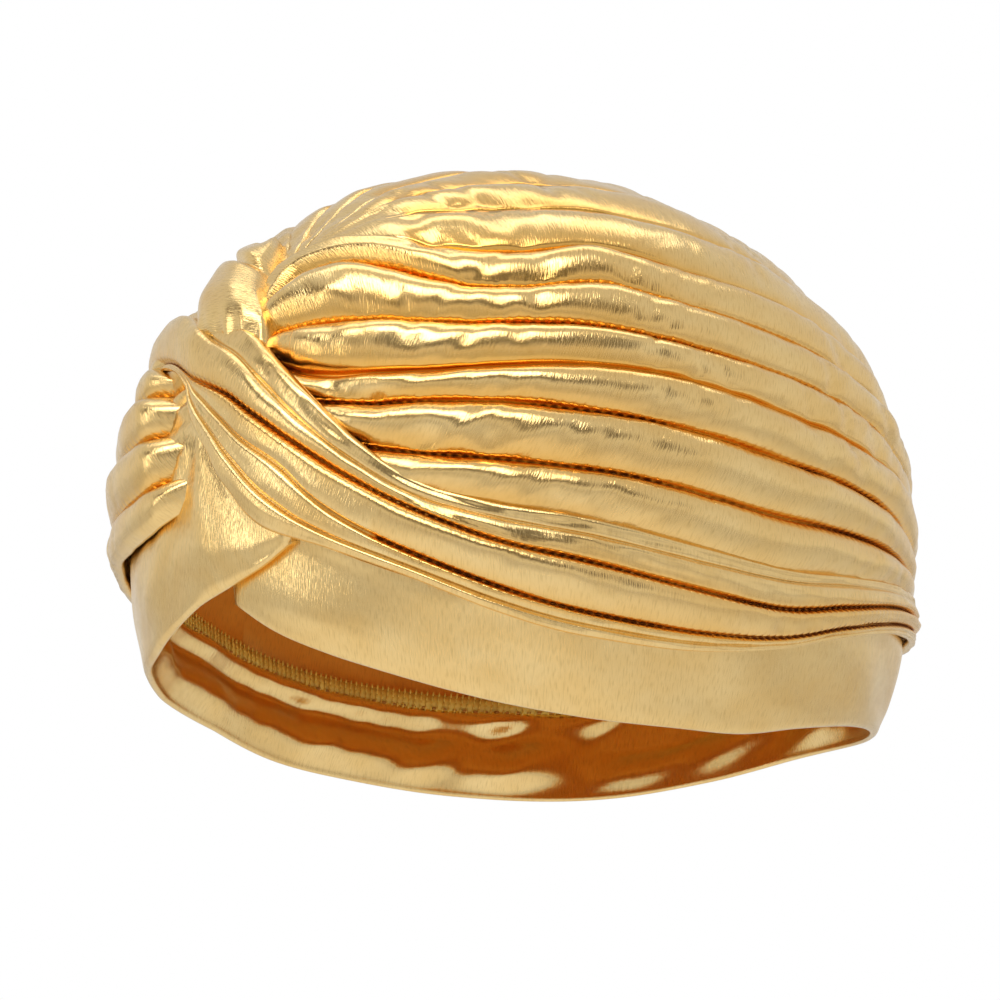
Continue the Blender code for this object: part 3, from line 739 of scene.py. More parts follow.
# Depth of each line across a wrap, at its front end and past the temple
LineDepth = namedtuple("LineDepth", "front back")
PAST_TEMPLE = dict(from_around=24.0, over_around=12.0)
LEFT_DEPTHS = (
    LineDepth(1.0, 1.0), LineDepth(0.35, 0.35), LineDepth(0.95, 1.0), LineDepth(0.5, 1.0),
    LineDepth(0.55, 0.55), LineDepth(1.0, 1.0))
RIGHT_WRAP = (
    WrapRow(-12, 88, -1, 55, 0.08, 0.20, 0.46, 0.76, 4.4),
    WrapRow(-18, 90, -8, 47, 0.09, 0.24, 0.50, 0.79, 4.6),
    WrapRow(-27, 90, -19, 44, 0.10, 0.28, 0.52, 0.80, 4.4),
    WrapRow(-40, 84, -33, 42.5, 0.10, 0.24, 0.49, 0.77, 4.2),
    WrapRow(-58, None, -52, 37.5, 0.12, 0.24, 0.47, 0.74, 4.0),
    WrapRow(-76, None, -74, 28.5, 0.12, 0.25, 0.48, 0.74, 2.4),
    WrapRow(-98, None, -96, 21, 0.12, 0.26, 0.50, 0.74, 1.2),
    WrapRow(-120, None, -120, 18, 0.12, 0.26, 0.50, 0.74, 1.2),
    WrapRow(-145, None, -145, 21, 0.12, 0.26, 0.50, 0.74, 1.2),
    WrapRow(-165, None, -165, 28, 0.12, 0.26, 0.50, 0.74, 1.2),
    WrapRow(-179.8, None, -179.8, 33, 0.12, 0.26, 0.50, 0.74, 1.2),
)
RIGHT_DEPTHS = tuple(LineDepth(depth, depth) for depth in (1.0, 0.1, 1.0, 1.0, 1.0, 1.0))
WRAP_WALL = 2.0 * MM
WRAP_RISE = 3.4 * MM
WRAP_RISE_PER_WIDTH = 0.30
# A wrap's upper edge lies this far over the crown's lowest seam
WRAP_OVER_SEAM = 1.2 * MM
print("wraps:", len(LEFT_WRAP), "and", len(RIGHT_WRAP), "rows from the knot to the nape")


# %% Wrap grids
WRAP_STATIONS = 200
# The crown's lowest seam is read between these sweeps
LOWEST_SEAM = dict(from_sweep=20.0, to_sweep=172.0, stations=80)
EdgePoint = namedtuple("EdgePoint", "inward height")
# Cloth folded under at a long edge: distance in from the edge, and height above the inside
UNDER_EDGE = (EdgePoint(5.0, 0.10), EdgePoint(2.5, 0.10), EdgePoint(0.8, 0.25), EdgePoint(0.0, 0.9),
              EdgePoint(0.1, 1.6))
UNDER_NEAR = 0.5 * MM
# A wrap's front end rounds down onto the crown, and further back in at each seam
PUFF = dict(radius=11.0 * MM, setback=6.0 * MM, seam_reach=3.0 * MM)
END_STANDOFF = 0.4 * MM
# Past the knot a wrap's upper edge drops onto the crown
HUG = dict(share=0.95, reach=0.45, from_around=22.0, over_around=16.0)


def lowest_seam_heights(seam, side):
    """Heights along the crown's lowest seam on one side, against the place around."""
    sweep = np.linspace(LOWEST_SEAM["from_sweep"], LOWEST_SEAM["to_sweep"], LOWEST_SEAM["stations"])
    lift = seam_lift(seam, sweep)
    point = form_by_direction(pleat_direction(sweep, lift if side > 0 else 180.0 - lift))
    return side * around_of(point), point[:, 2]


def wrap_lines(table, side, lowest_seam):
    """Everything about a wrap at each station along it, read from its table."""
    arounds, heights = lowest_seam_heights(lowest_seam, side)
    order = np.arange(len(table))
    place = np.linspace(0.0, len(table) - 1.0, WRAP_STATIONS)
    upper_heights = [
        np.interp(side * row.upper_around, arounds, heights) + WRAP_OVER_SEAM
        if row.upper is None else row.upper * MM for row in table]

    def read(values):
        return read_table(place, order, values)

    upper_around = read([row.upper_around for row in table])
    lower_around = read([row.lower_around for row in table])
    lower = read([row.lower * MM for row in table])
    inside = read([row.inside * MM for row in table])
    lines = [read([getattr(row, name) for row in table]) for name in ("fold", "first", "second", "third")]
    lines = [0.0 * place] + lines + [1.0 + 0.0 * place]
    return upper_around, read(upper_heights), lower_around, lower, lines, inside


def wrap_columns(lines, drop, inside, deep, along, seed):
    """Share of the way down, standoff, distance to a line, line number, distance to a sewn one."""
    under = [(point.inward * MM / drop, inside + point.height * MM) for point in UNDER_EDGE]
    columns = [(share, height, UNDER_NEAR, 0, FAR_FROM_SEAMS) for share, height in under]
    final = len(lines) - 2
    for number, (start, end) in enumerate(zip(lines, lines[1:])):
        width = (end - start) * drop
        rise = np.minimum(WRAP_RISE, WRAP_RISE_PER_WIDTH * width)
        # At both long edges the folded columns stand in for the pleat's own deep ones
        first = 3 if number == 0 else 0
        last = -3 if number == final else None
        for place in FOLD_PLACES[first:last]:
            depth = deep[number] if place < 0.5 else deep[number + 1]
            near = np.minimum(place, 1.0 - place) * width
            if (number == 0 and place < 0.5) or (number == final and place > 0.5):
                height, sewn = rise * fold_height(place, FOLD_CREST), FAR_FROM_SEAMS
            else:
                height = pleat_standoff(place, near, depth, rise, along, number, seed)
                sewn = np.where(depth > SEWN_DEPTH, near, FAR_FROM_SEAMS)
            columns.append((start + place * (end - start), inside + WRAP_WALL + height, near,
                            number + (place > 0.5), sewn))
    for share, height in reversed(under):
        columns.append((1.0 - share, height, UNDER_NEAR, final + 1, FAR_FROM_SEAMS))
    return columns


def puff_front(along, near):
    """Share of its standoff that a wrap keeps near its front end, where it turns under."""
    setback = PUFF["setback"] * np.exp(-near / PUFF["seam_reach"])
    into = np.clip((along - setback) / PUFF["radius"], 0.0, 1.0)
    return np.sin(0.5 * math.pi * into)


def make_wrap(name, table, side, lowest_seam, depths, seed):
    upper_around, upper, lower_around, lower, lines, inside = wrap_lines(table, side, lowest_seam)
    drop = np.linalg.norm(
        form_by_height(upper_around, upper) - form_by_height(lower_around, lower), axis=1)
    middle = form_by_height(0.5 * (upper_around + lower_around), 0.5 * (upper + lower))
    past = ease((side * upper_around - PAST_TEMPLE["from_around"]) / PAST_TEMPLE["over_around"])
    deep = [line.front + past * (line.back - line.front) for line in depths]
    columns = wrap_columns(lines, drop, inside, deep, lengths(middle[:, None], 0)[:, 0], seed)
    share, standoff, near, number, from_seam = (
        np.stack([column[part] + 0.0 * drop for column in columns], axis=1) for part in range(5))
    around = upper_around[:, None] + share * (lower_around - upper_around)[:, None]
    base = form_by_height(around, upper[:, None] + share * (lower - upper)[:, None])
    along = lengths(base, 0)
    past_knot = ease((np.abs(upper_around) - HUG["from_around"]) / HUG["over_around"])[:, None]
    hug = HUG["share"] * past_knot * (1.0 - ease(share / HUG["reach"]))
    standoff = standoff - hug * inside[:, None]
    standoff = standoff + unevenness(along, share * drop[:, None], near, number, seed)
    points = lifted(base, END_STANDOFF + (standoff - END_STANDOFF) * puff_front(along, near))
    return mesh_from_grid(name, points, seam_distance=from_seam)


# %% Make the wraps
wrap_left_cloth = finished(
    make_wrap("wrap_left_cloth", LEFT_WRAP, 1, LEFT_SEAMS[0], LEFT_DEPTHS, seed=50.0),
    foil, inside_knit_painted_bounce)
wrap_right_cloth = finished(
    make_wrap("wrap_right_cloth", RIGHT_WRAP, -1, RIGHT_SEAMS[0], RIGHT_DEPTHS, seed=80.0),
    foil, inside_knit_painted_bounce)

# %% [markdown]
# The band is the same cloth laid double, so it is smooth outside and only its fold at
# the hem is round. It goes once round the head, laps over its own start at the forehead
# and rises into the knot as a soft flap. Inside the cap its loose layer sags in shallow
# waves, which the photo shows well on the far wall.

# %% Band table
# Hem height and outer face in mm; without a top, the row follows the crown's seam
BandRow = namedtuple("BandRow", "around hem top face", defaults=(None, 0.2))
BAND_ROWS = (
    BandRow(3, 28), BandRow(10, 21), BandRow(19, 15), BandRow(28, 10.5), BandRow(45, 4),
    BandRow(60, 1), BandRow(80, 0), BandRow(95, 0.5), BandRow(110, 4), BandRow(130, 8),
    BandRow(155, 10), BandRow(180, 9.5), BandRow(195, 5), BandRow(210, 1), BandRow(240, 0),
    BandRow(260, 2), BandRow(280, 5), BandRow(296, 10), BandRow(312, 14.5, None, 3.2),
    BandRow(322, 17.5, 47, 3.2), BandRow(340, 20, 60, 3.4), BandRow(350, 24, 74, 3.8),
    BandRow(358, 28, 82, 4.2), BandRow(366, 32, 66, 3.6), BandRow(372, 36, 54, 3.2),
    BandRow(376, 40, 46, 3.2),
)
FLAP_START = 312.0
BAND_WALL = 2.2 * MM
BAND_STATIONS = 330
BAND_FACE_COLUMNS = 26
HEM_COLUMNS = 6
# Lengths along the band are measured on a circle of this radius
BAND_RADIUS = 90.0 * MM
print("band:", len(BAND_ROWS), "rows, of which the flap has",
      sum(row.around >= FLAP_START for row in BAND_ROWS))

# %% Waves of the band and folds of its flap
OUTER_WAVE = dict(depth=1.1 * MM, length=26.0 * MM, height=24.0 * MM, slant=0.6)
# The loose inner layer rolls out at the hem, sags in above it and is drawn in at the seam
SagPoint = namedtuple("SagPoint", "share inward")
INNER_SAG = (SagPoint(0.0, 0.0), SagPoint(0.06, 1.1), SagPoint(0.27, 4.4), SagPoint(0.45, 3.2),
             SagPoint(0.62, 0.6), SagPoint(0.88, 3.4), SagPoint(0.95, 1.5), SagPoint(1.0, 0.0))
# Slanting folds of that layer, deepest near the nape, and smaller ones between them
FINGERS = dict(depth=8.0 * MM, elsewhere=1.8 * MM, around=205.0, spread=36.0, less_sag=0.6,
               slant=1.1, length=21.0 * MM, breadth=50.0 * MM, lean=0.8)
SMALL_FINGERS = dict(length=9.0 * MM, breadth=30.0 * MM, lean=0.5)
# It never comes further out than this, so it doesn't break through the outer layer
MOST_OUTWARD = 0.3 * BAND_WALL
# Folds that fan out over the flap from the hollow under the crossing
HOLLOW = dict(around=357.5, height=72.0 * MM, radius=92.0 * MM)
FOLD_FAN = dict(count=9.0, depth=2.6 * MM, reach=26.0 * MM, clear=6.0 * MM, from_around=318.0,
                over_around=12.0)


def flap_folds(around, height):
    """Height of two overlaid sets of folds that fan out over the flap."""
    aside = np.radians(around - HOLLOW["around"]) * HOLLOW["radius"]
    down = HOLLOW["height"] - height
    distance = np.hypot(aside, down)
    angle = np.arctan2(aside, down)
    wave = np.abs(np.sin(0.5 * FOLD_FAN["count"] * angle + 0.7)) - 0.6
    wave = wave + 0.35 * np.abs(np.sin(1.2 * FOLD_FAN["count"] * angle)) - 0.2
    fade = np.exp(-distance / FOLD_FAN["reach"]) * ease(distance / FOLD_FAN["clear"])
    on_flap = ease((around - FOLD_FAN["from_around"]) / FOLD_FAN["over_around"])
    return on_flap * fade * FOLD_FAN["depth"] * wave


def outer_wave(along, height):
    slanted = along + OUTER_WAVE["slant"] * height
    return OUTER_WAVE["depth"] * noise_field(
        slanted / OUTER_WAVE["length"], height / OUTER_WAVE["height"], 7.0)


def inner_sag(around, along, height, share, loose):
    """How far the inner layer stands out from its smooth place, mostly inwards."""
    slanted = along + FINGERS["slant"] * height

    def folds(sizes, seed):
        steep = height - sizes["lean"] * along
        return noise_field(slanted / sizes["length"], steep / sizes["breadth"], seed)

    wave, small = folds(FINGERS, 12.0), folds(SMALL_FINGERS, 15.0)
    nearness = np.exp(-((around - FINGERS["around"]) / FINGERS["spread"]) ** 2)
    depth = FINGERS["elsewhere"] + nearness * (FINGERS["depth"] - FINGERS["elsewhere"])
    sag = read_table(share, [point.share for point in INNER_SAG], [point.inward for point in INNER_SAG])
    sag = sag * (1.0 - FINGERS["less_sag"] * nearness)
    return -np.maximum(MM * sag + loose * (depth * wave + MM * small), -MOST_OUTWARD)


# %% Make the band
def make_band():
    arounds = [row.around for row in BAND_ROWS]
    around = np.linspace(arounds[0], arounds[-1], BAND_STATIONS)
    along = np.radians(around) * BAND_RADIUS
    hem = read_table(around, arounds, [row.hem * MM for row in BAND_ROWS])
    tops = [row.top * MM if row.top is not None else float(seam_height(row.around)) for row in BAND_ROWS]
    top = np.where(around < FLAP_START, seam_height(around), read_table(around, arounds, tops))
    face = np.interp(around, arounds, [row.face * MM for row in BAND_ROWS])
    outer, hem_fold, inner = [], [], []
    for share in np.linspace(1.0, 0.0, BAND_FACE_COLUMNS):
        height = hem + share * (top - hem)
        loose = ease(share / 0.25) * ease((1.0 - share) / 0.2)
        wave = loose * outer_wave(along, height) + flap_folds(around, height)
        outer.append((height, face + wave))
        inner.append((height, face - BAND_WALL + inner_sag(around, along, height, share, loose)))
    for turn in np.linspace(0.0, math.pi, HEM_COLUMNS + 1)[1:-1]:
        depth = 0.5 * BAND_WALL * (1.0 - math.cos(turn))
        hem_fold.append((hem - 0.5 * BAND_WALL * math.sin(turn), face - depth))
    height, standoff = (
        np.stack(part, axis=1) for part in zip(*(outer + hem_fold + inner[::-1])))
    middle = face - 0.5 * BAND_WALL
    for end in (0, -1):
        standoff[end] = middle[end]
    base = form_by_height(around[:, None], height)
    moved = lifted(base, standoff)
    moved[..., 2] = base[..., 2]
    return mesh_from_grid("band_cloth", moved, ring=True, closed=True)


band_cloth = finished(make_band(), foil)

# %% [markdown]
# The knot's loop is a short strap that holds the crossing. It comes out of the crown,
# bulges over the gathers and dives under the near wrap. Gathers pinch it at both ends.

# %% Make the loop
# Middle line in degrees and mm, half the width, and standoff of the crest, from the top down
LoopRow = namedtuple("LoopRow", "around height half_width crest")
LOOP_ROWS = (
    LoopRow(-15, 118, 6, 4.0),
    LoopRow(-12.5, 114.5, 8, 7.6),
    LoopRow(-9, 108, 9.5, 10.0),
    LoopRow(-5, 100.5, 11.5, 11.0),
    LoopRow(-1, 93, 13, 10.5),
    LoopRow(1, 86, 12.5, 6.5),
)
LOOP_EDGE_CREST = 5.6 * MM
LOOP_INSIDE = 0.6 * MM
LOOP_STATIONS = 90
LOOP_COLUMNS = 48
# Beyond this share of its half width the strap turns under
LOOP_TURN = 0.9
# A pinch slants across the strap, near its upper end
PINCH = dict(place=1.75, slant=0.35, half_width=0.17, depth=2.6 * MM)
LOOP_GATHERS = 2.4 * MM
LOOP_DENTS = 0.5 * MM


def make_loop():
    place = np.linspace(0.0, len(LOOP_ROWS) - 1.0, LOOP_STATIONS)
    order = np.arange(len(LOOP_ROWS))
    around, height, half_width, crest = (
        read_table(place, order, [row[part] for row in LOOP_ROWS])[:, None] for part in range(4))
    place = place[:, None]
    across = np.linspace(-1.0, 1.0, LOOP_COLUMNS)[None, :]
    middle = form_by_height(around, height * MM)
    radius = np.hypot(middle[..., 0], middle[..., 1])
    turn = np.degrees(across * half_width * MM / radius)
    base = form_by_height(around + turn, height * MM + 0.0 * across)
    bulge = LOOP_EDGE_CREST + (crest * MM - LOOP_EDGE_CREST) * (1.0 - np.abs(across) ** 3)
    under = ease((np.abs(across) - LOOP_TURN) / (1.0 - LOOP_TURN))
    bulge = bulge + under * (LOOP_INSIDE - bulge)
    ends = 1.0 - ease(np.sin(math.pi * place / (len(LOOP_ROWS) - 1)) / 0.9)
    gathers = noise_field(across * 3.2 + 0.3 * place, place * 0.5, 40.0)
    dents = noise_field(place * 1.4, across * 0.9, 44.0)
    aside = (place - PINCH["place"] - PINCH["slant"] * across) / PINCH["half_width"]
    bulge = bulge - PINCH["depth"] * np.exp(-aside**2)
    points = lifted(base, bulge + ends * LOOP_GATHERS * gathers + LOOP_DENTS * dents)
    return mesh_from_grid("loop_cloth", points)


loop_cloth = finished(make_loop(), foil, inside_knit_painted_bounce)

# %% [markdown]
# Stitches repeat along every seam, so Geometry Nodes place them: the seam's line is
# turned into a curve, cut into equal steps, and one small bead of thread is set on each
# step. The sizes are named inputs, and the result is realized as plain mesh.

# %% A tree that sews a row of stitches
def stitch_tree(name, material):
    tree = bpy.data.node_groups.new(name, "GeometryNodeTree")
    sockets = tree.interface
    sockets.new_socket("Geometry", in_out="INPUT", socket_type="NodeSocketGeometry")
    for label in ("Pitch", "Stitch length", "Thread thickness"):
        sockets.new_socket(label, in_out="INPUT", socket_type="NodeSocketFloat")
    sockets.new_socket("Geometry", in_out="OUTPUT", socket_type="NodeSocketGeometry")
    maker = NodeMaker(tree)
    start = maker.add("NodeGroupInput").outputs
    line = maker.add("GeometryNodeMeshToCurve", {"Mesh": start["Geometry"]})
    steps = maker.add("GeometryNodeCurveToPoints", {
        "Curve": line.outputs["Curve"], "Length": start["Pitch"]}, mode="LENGTH")
    aim = maker.add(
        "FunctionNodeAlignRotationToVector", {"Vector": steps.outputs["Tangent"]}, axis="X")
    bead = maker.add("GeometryNodeMeshUVSphere", {"Segments": 6, "Rings": 4, "Radius": 0.5})
    thick = start["Thread thickness"]
    size = maker.add("ShaderNodeCombineXYZ", {"X": start["Stitch length"], "Y": thick, "Z": thick})
    # The node has several inputs called Min and Max; these two are its plain numbers
    least, most = 2, 3
    vary = maker.add("FunctionNodeRandomValue", {least: 0.8, most: 1.15, "Seed": 3})
    scale = maker.add("ShaderNodeVectorMath", {
        0: size.outputs["Vector"], "Scale": vary.outputs[1]}, operation="SCALE")
    place = maker.add("GeometryNodeInstanceOnPoints", {
        "Points": steps.outputs["Points"], "Instance": bead.outputs["Mesh"],
        "Rotation": aim.outputs["Rotation"], "Scale": scale.outputs["Vector"]})
    real = maker.add("GeometryNodeRealizeInstances", {"Geometry": place.outputs["Instances"]})
    finish = maker.add("GeometryNodeSetMaterial", {
        "Geometry": real.outputs["Geometry"], "Material": material})
    maker.add("NodeGroupOutput", {"Geometry": finish.outputs["Geometry"]})
    return tree


def sew(name, lines, tree, pitch, length, thickness):
    """One piece with a row of stitches along each line of points."""
    data = bpy.data.meshes.new(name)
    points, edges = [], []
    for line in lines:
        first = len(points)
        points += [tuple(point) for point in line]
        edges += [(first + step, first + step + 1) for step in range(len(line) - 1)]
    data.from_pydata(points, edges, [])
    piece = bpy.data.objects.new(name, data)
    bpy.context.scene.collection.objects.link(piece)
    modifier = piece.modifiers.new("stitches", "NODES")
    modifier.node_group = tree
    sizes = {"Pitch": pitch, "Stitch length": length, "Thread thickness": thickness}
    for item in tree.interface.items_tree:
        if item.in_out == "INPUT" and item.name in sizes:
            modifier[item.identifier] = sizes[item.name]
    bake_modifiers(piece)
    piece.data.shade_smooth()
    return finished(piece)


# %% Sew the crown and the wraps
SEAM_STITCH = dict(pitch=STITCH_PITCH, length=0.9 * MM, thickness=0.32 * MM)
THREAD_SUNK = 1.1 * MM
CROWN_SEWN = dict(from_sweep=16.0, to_sweep=172.0, stations=140)
# Stations at which the sewn seams of each wrap come out of the knot
LEFT_SEWN_FROM = (64, 104)
RIGHT_SEWN_FROM = (36, 36, 36)
seam_stitches = stitch_tree("seam_stitches", shaded_seam_thread)


def crown_stitch_lines():
    sweep = np.linspace(CROWN_SEWN["from_sweep"], CROWN_SEWN["to_sweep"], CROWN_SEWN["stations"])
    lines = []
    for lift, depth in crown_seam_lines(sweep):
        if depth.max() > SEWN_DEPTH:
            base = form_by_direction(pleat_direction(sweep, lift))
            lines.append(lifted(base, 0.0 * sweep - THREAD_SUNK))
    return lines


def wrap_stitch_lines(table, side, lowest_seam, first_stations):
    """Lines along a wrap's sewn seams, each from its own first station."""
    upper_around, upper, lower_around, lower, seams, inside = wrap_lines(table, side, lowest_seam)
    lines = []
    for share, first_station in zip(seams[2:], first_stations):
        base = form_by_height(upper_around + share * (lower_around - upper_around),
                              upper + share * (lower - upper))
        lines.append(lifted(base, inside + WRAP_WALL - THREAD_SUNK)[first_station:])
    return lines


crown_thread = sew("crown_thread", crown_stitch_lines(), seam_stitches, **SEAM_STITCH)
wrap_thread = sew(
    "wrap_thread",
    wrap_stitch_lines(LEFT_WRAP, 1, LEFT_SEAMS[0], LEFT_SEWN_FROM)
    + wrap_stitch_lines(RIGHT_WRAP, -1, RIGHT_SEAMS[0], RIGHT_SEWN_FROM),
    seam_stitches, **SEAM_STITCH)

# %% [markdown]
# Inside the cap the raw edges of crown and band are overlocked together. The joined
# edge is a narrow tape that turns down, covered with slanting loops of thread, with a
# row of darker stitches along its lower edge.

# %% Overlocked seam allowance
TAPE_FACE = -2.8 * MM
TAPE_WALL = 0.9 * MM
TAPE_INSIDE = TAPE_FACE - TAPE_WALL
TAPE_BELOW = 2.6 * MM
TAPE_ABOVE = 1.4 * MM
TAPE_STATIONS = 360
TAPE_RIPPLE = dict(depth=0.15 * MM, waves=120)
# Loops of thread: degrees from one to the next, degrees that each slants, and how they lie
OVERLOCK = dict(step=1.1, slant=0.5, points=4, proud=0.25 * MM)
LOOP_STITCH = dict(pitch=1.2 * MM, length=1.6 * MM, thickness=0.55 * MM)
ROW_STITCH = dict(pitch=2.9 * MM, length=1.5 * MM, thickness=0.7 * MM)
ROW_PROUD = 0.2 * MM


def tape_point(around, shift, standoff):
    return lifted(form_by_height(around, seam_height(around) + shift), standoff + 0.0 * around)


def make_tape():
    around = np.linspace(0.0, 360.0, TAPE_STATIONS, endpoint=False)
    ripple = TAPE_RIPPLE["depth"] * np.sin(np.radians(around * TAPE_RIPPLE["waves"]))
    corners = ((TAPE_ABOVE, TAPE_FACE), (-TAPE_BELOW, TAPE_FACE), (-TAPE_BELOW, TAPE_INSIDE),
               (TAPE_ABOVE, TAPE_INSIDE), (TAPE_ABOVE, TAPE_FACE))
    points = np.stack([tape_point(around, shift, standoff + ripple) for shift, standoff in corners])
    return mesh_from_grid("tape_cloth", points, ring=True, closed=True)


def loop_lines():
    """Short slanting lines, one for each loop of the overlock."""
    share = np.linspace(0.0, 1.0, OVERLOCK["points"])
    shift = TAPE_ABOVE - share * (TAPE_ABOVE + TAPE_BELOW)
    return [tape_point(start + OVERLOCK["slant"] * share, shift, TAPE_INSIDE - OVERLOCK["proud"])
            for start in np.arange(0.0, 360.0, OVERLOCK["step"])]


tape_cloth = finished(make_tape(), overlock_thread)
overlock_loops = sew(
    "overlock_loops", loop_lines(), stitch_tree("overlock", overlock_thread), **LOOP_STITCH)
row_line = tape_point(np.linspace(0.0, 359.0, 360), -TAPE_BELOW, TAPE_INSIDE - ROW_PROUD)
overlock_stitches = sew("overlock_stitches", [row_line], seam_stitches, **ROW_STITCH)

# %% [markdown]
# A camera at the photo's angle sees the cap a little from below, past its left side. The
# cap is held at head height over a pale floor. Foil shows whatever is around it, so the
# light is a white room with soft boxes, a dark warm gap in front and two dark cards. The
# room's brightness is read by direction alone, so every view shows the same room.

# %% Camera
CAMERA_AROUND = math.radians(49.0)
CAMERA_BELOW = math.radians(10.0)
CAMERA_ROLL = math.radians(1.0)
CAMERA_DISTANCE = 1.3
CAMERA_AIM_HEIGHT = 0.064
CAMERA_AIM_ASIDE = -0.00323
CAMERA_LENS = 188.1
SENSOR = 36.0


def make_camera():
    right = Vector((math.cos(CAMERA_AROUND), math.sin(CAMERA_AROUND), 0.0))
    back = Vector((
        math.sin(CAMERA_AROUND) * math.cos(CAMERA_BELOW),
        -math.cos(CAMERA_AROUND) * math.cos(CAMERA_BELOW),
        -math.sin(CAMERA_BELOW),
    ))
    up = back.cross(right)
    target = Vector((0.0, 0.0, CAMERA_AIM_HEIGHT)) + right * CAMERA_AIM_ASIDE
    turned_right = right * math.cos(CAMERA_ROLL) + up * math.sin(CAMERA_ROLL)
    turned_up = up * math.cos(CAMERA_ROLL) - right * math.sin(CAMERA_ROLL)
    axes = Matrix((turned_right, turned_up, back)).transposed()
    data = bpy.data.cameras.new("camera")
    data.lens = CAMERA_LENS
    data.sensor_width = SENSOR
    camera = bpy.data.objects.new("camera", data)
    camera.matrix_world = Matrix.Translation(target + back * CAMERA_DISTANCE) @ axes.to_4x4()
    bpy.context.scene.collection.objects.link(camera)
    bpy.context.scene.camera = camera
    return right, up, back


view_right, view_up, view_back = make_camera()
print("camera looks along:", [round(-part, 3) for part in view_back])

# %% Floor
FLOOR_HEIGHT = -0.45
FLOOR_REACH = 6.0


def make_floor():
    data = bpy.data.meshes.new("floor")
    corners = [(-1, -1), (1, -1), (1, 1), (-1, 1)]
    data.from_pydata([(x * FLOOR_REACH, y * FLOOR_REACH, FLOOR_HEIGHT) for x, y in corners], [],
                     [(0, 1, 2, 3)])
    pale, _, _ = new_material("pale_floor", {"Base Color": (0.95, 0.95, 0.95), "Roughness": 0.9})
    data.materials.append(pale)
    floor = bpy.data.objects.new("floor", data)
    bpy.context.scene.collection.objects.link(floor)


make_floor()
print("floor:", FLOOR_HEIGHT, "m")

# %% Light
SoftBox = namedtuple("SoftBox", "name right up back wide high strength")
SOFT_BOXES = (
    SoftBox("front_top", -0.25, 1.15, 0.62, 1.3, 0.55, 7.4),
    SoftBox("back_top", 0.0, 1.2, -0.45, 1.5, 0.40, 2.8),
    SoftBox("left_side", -1.5, 0.5, 0.6, 0.3, 1.0, 1.8),
    SoftBox("low_front", 0.0, -0.42, 1.25, 1.6, 0.28, 2.2),
)
SkyStop = namedtuple("SkyStop", "height strength warmth")
# Brightness of the room by height, from straight down at -1 to straight up at 1
PLAIN_SKY = (
    SkyStop(-1.0, 0.40, 0.0), SkyStop(-0.1, 0.50, 0.0), SkyStop(0.1, 0.72, 0.0),
    SkyStop(0.6, 0.66, 0.0), SkyStop(1.0, 0.60, 0.0),
)
# In front of the cap a dark warm gap lies between two bright bands
FRONT_SKY = (
    SkyStop(-1.0, 0.40, 0.0), SkyStop(-0.1, 0.50, 0.0), SkyStop(0.1, 0.72, 0.0),
    SkyStop(0.26, 0.66, 0.0), SkyStop(0.38, 0.06, 1.0), SkyStop(0.68, 0.05, 1.0),
    SkyStop(0.78, 0.60, 0.0), SkyStop(1.0, 0.65, 0.0),
)
WARM = (1.0, 0.78, 0.46)
# Cosines from the camera's side, between which the plain room turns into the front's
FRONT_SPREAD = (0.35, 0.85)
# Dark cards, in degrees: direction, reach of the full dark and of its soft edge; and its share
DarkCard = namedtuple("DarkCard", "around height reach edge share")
DARK_CARDS = (DarkCard(-24, 36, 7, 17, 0.9), DarkCard(80, 30, 5, 15, 0.7))
CARD_COLOUR = (0.06, 0.045, 0.03)
WHITE = (1.0, 1.0, 1.0)


def make_light(box):
    data = bpy.data.lights.new(box.name, "AREA")
    data.shape = "RECTANGLE"
    data.size, data.size_y = box.wide, box.high
    data.energy = box.strength
    light = bpy.data.objects.new(box.name, data)
    aim = Vector((0.0, 0.0, CAMERA_AIM_HEIGHT))
    offset = view_right * box.right + view_up * box.up + view_back * box.back
    light.location = aim + offset
    light.rotation_mode = "QUATERNION"
    light.rotation_quaternion = offset.to_track_quat("Z", "Y")
    bpy.context.scene.collection.objects.link(light)


def towards(maker, direction, aim):
    """Cosine of the angle between the place looked at and an aim."""
    return maker.add(
        "ShaderNodeVectorMath", {0: direction, 1: aim}, operation="DOT_PRODUCT").outputs["Value"]


def shaded(maker, direction, card, light):
    """The room's light with one dark card in it."""
    around, height = math.radians(card.around), math.radians(card.height)
    aim = (math.sin(around) * math.cos(height), -math.cos(around) * math.cos(height), math.sin(height))
    edge, full = math.cos(math.radians(card.edge)), math.cos(math.radians(card.reach))
    dark = maker.spread(towards(maker, direction, aim), 0.0, card.share, start=edge, end=full)
    return maker.mixed(dark, light, CARD_COLOUR)


def room(maker, level, sky):
    """Light by height in the room, with its stops spread from 0, straight down, to 1."""
    ramp = maker.add("ShaderNodeValToRGB", {"Fac": level})
    stops = ramp.color_ramp.elements
    while len(stops) < len(sky):
        stops.new(1.0)
    for stop, sky_stop in zip(stops, sky):
        stop.position = 0.5 + 0.5 * sky_stop.height
    for stop, sky_stop in zip(stops, sky):
        tint = [1.0 + sky_stop.warmth * (part - 1.0) for part in WARM]
        stop.color = (*[sky_stop.strength * part for part in tint], 1.0)
    return ramp.outputs["Color"]


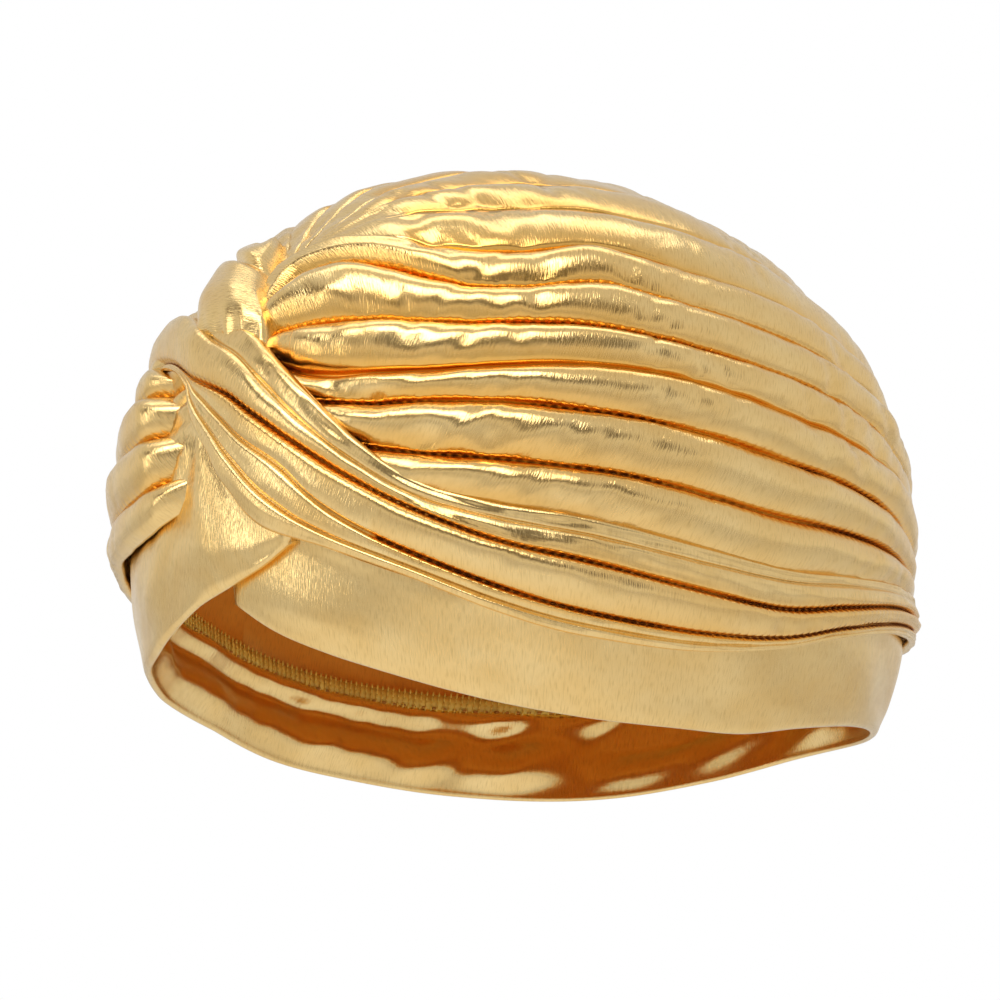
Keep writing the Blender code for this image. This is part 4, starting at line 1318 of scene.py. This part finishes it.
def make_world():
    world = bpy.data.worlds.new("studio")
    world.use_nodes = True
    maker = NodeMaker(world.node_tree)
    direction = maker.add("ShaderNodeTexCoord").outputs["Generated"]
    height = maker.add("ShaderNodeSeparateXYZ", {"Vector": direction}).outputs["Z"]
    level = maker.spread(height, 0.0, 1.0, start=-1.0)
    side_cosine, front_cosine = FRONT_SPREAD
    cosine = towards(maker, direction, view_back)
    front = maker.spread(cosine, 0.0, 1.0, start=side_cosine, end=front_cosine)
    light = maker.mixed(front, room(maker, level, PLAIN_SKY), room(maker, level, FRONT_SKY))
    for card in DARK_CARDS:
        light = shaded(maker, direction, card, light)
    seen = maker.add("ShaderNodeLightPath").outputs["Is Camera Ray"]
    background = world.node_tree.nodes["Background"]
    maker.fill(background.inputs["Color"], maker.mixed(seen, light, WHITE))
    bpy.context.scene.world = world


for box in SOFT_BOXES:
    make_light(box)
make_world()
bpy.context.scene.view_settings.view_transform = "Standard"
print(len(SOFT_BOXES), "soft boxes and", len(DARK_CARDS), "dark cards")

# %% [markdown]
# Last, every piece rides on the root body and hides the solid it stands for. The table
# also names each piece's finish, which is not applied here. The cloth pieces' cut sizes are
# listed, and their areas are printed beside them.

# %% Give walls, attach the pieces and hide the solids
for piece in (crown_cloth, wrap_left_cloth, wrap_right_cloth, loop_cloth):
    give_wall(piece)

# Each piece, the solid it stands for and its finish
PIECES = (
    (crown_cloth, "crown", "foil_knit"),
    (wrap_left_cloth, "wrap_left", "foil_knit"),
    (wrap_right_cloth, "wrap_right", "foil_knit"),
    (loop_cloth, "knot_loop", "foil_knit"),
    (band_cloth, "hem_band", "band_knit"),
    (tape_cloth, "seam_allowance", "overlock_thread"),
    (crown_thread, None, "overlock_thread"),
    (wrap_thread, None, "overlock_thread"),
    (overlock_loops, None, "overlock_thread"),
    (overlock_stitches, None, "overlock_thread"),
)
for piece, node, slot in PIECES:
    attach(piece, "root")
    if node:
        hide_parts(node)

Cut = namedtuple("Cut", "piece wide long held rests_on with_pieces")
# Each sheet's size in metres before it was gathered; the band's is its doubled strip
CUTS = (
    Cut(crown_cloth, 0.30, 0.32, "gathered", ["band_cloth"], [crown_thread]),
    Cut(wrap_left_cloth, 0.056, 0.30, "gathered", ["crown_cloth"], [wrap_thread]),
    Cut(wrap_right_cloth, 0.064, 0.30, "gathered", ["crown_cloth"], []),
    Cut(loop_cloth, 0.038, 0.045, "folded", ["wrap_left_cloth"], []),
    Cut(band_cloth, 0.031, 0.60, "folded", ["crown_cloth"],
        [tape_cloth, overlock_loops, overlock_stitches]),
)
for cut in CUTS:
    surface = sum(face.area for face in cut.piece.data.polygons)
    print(f"{cut.piece.name}: {1e4 * surface / 2.0:.0f} cm2 on one face, "
          f"cut {1e4 * cut.wide * cut.long:.0f} cm2")
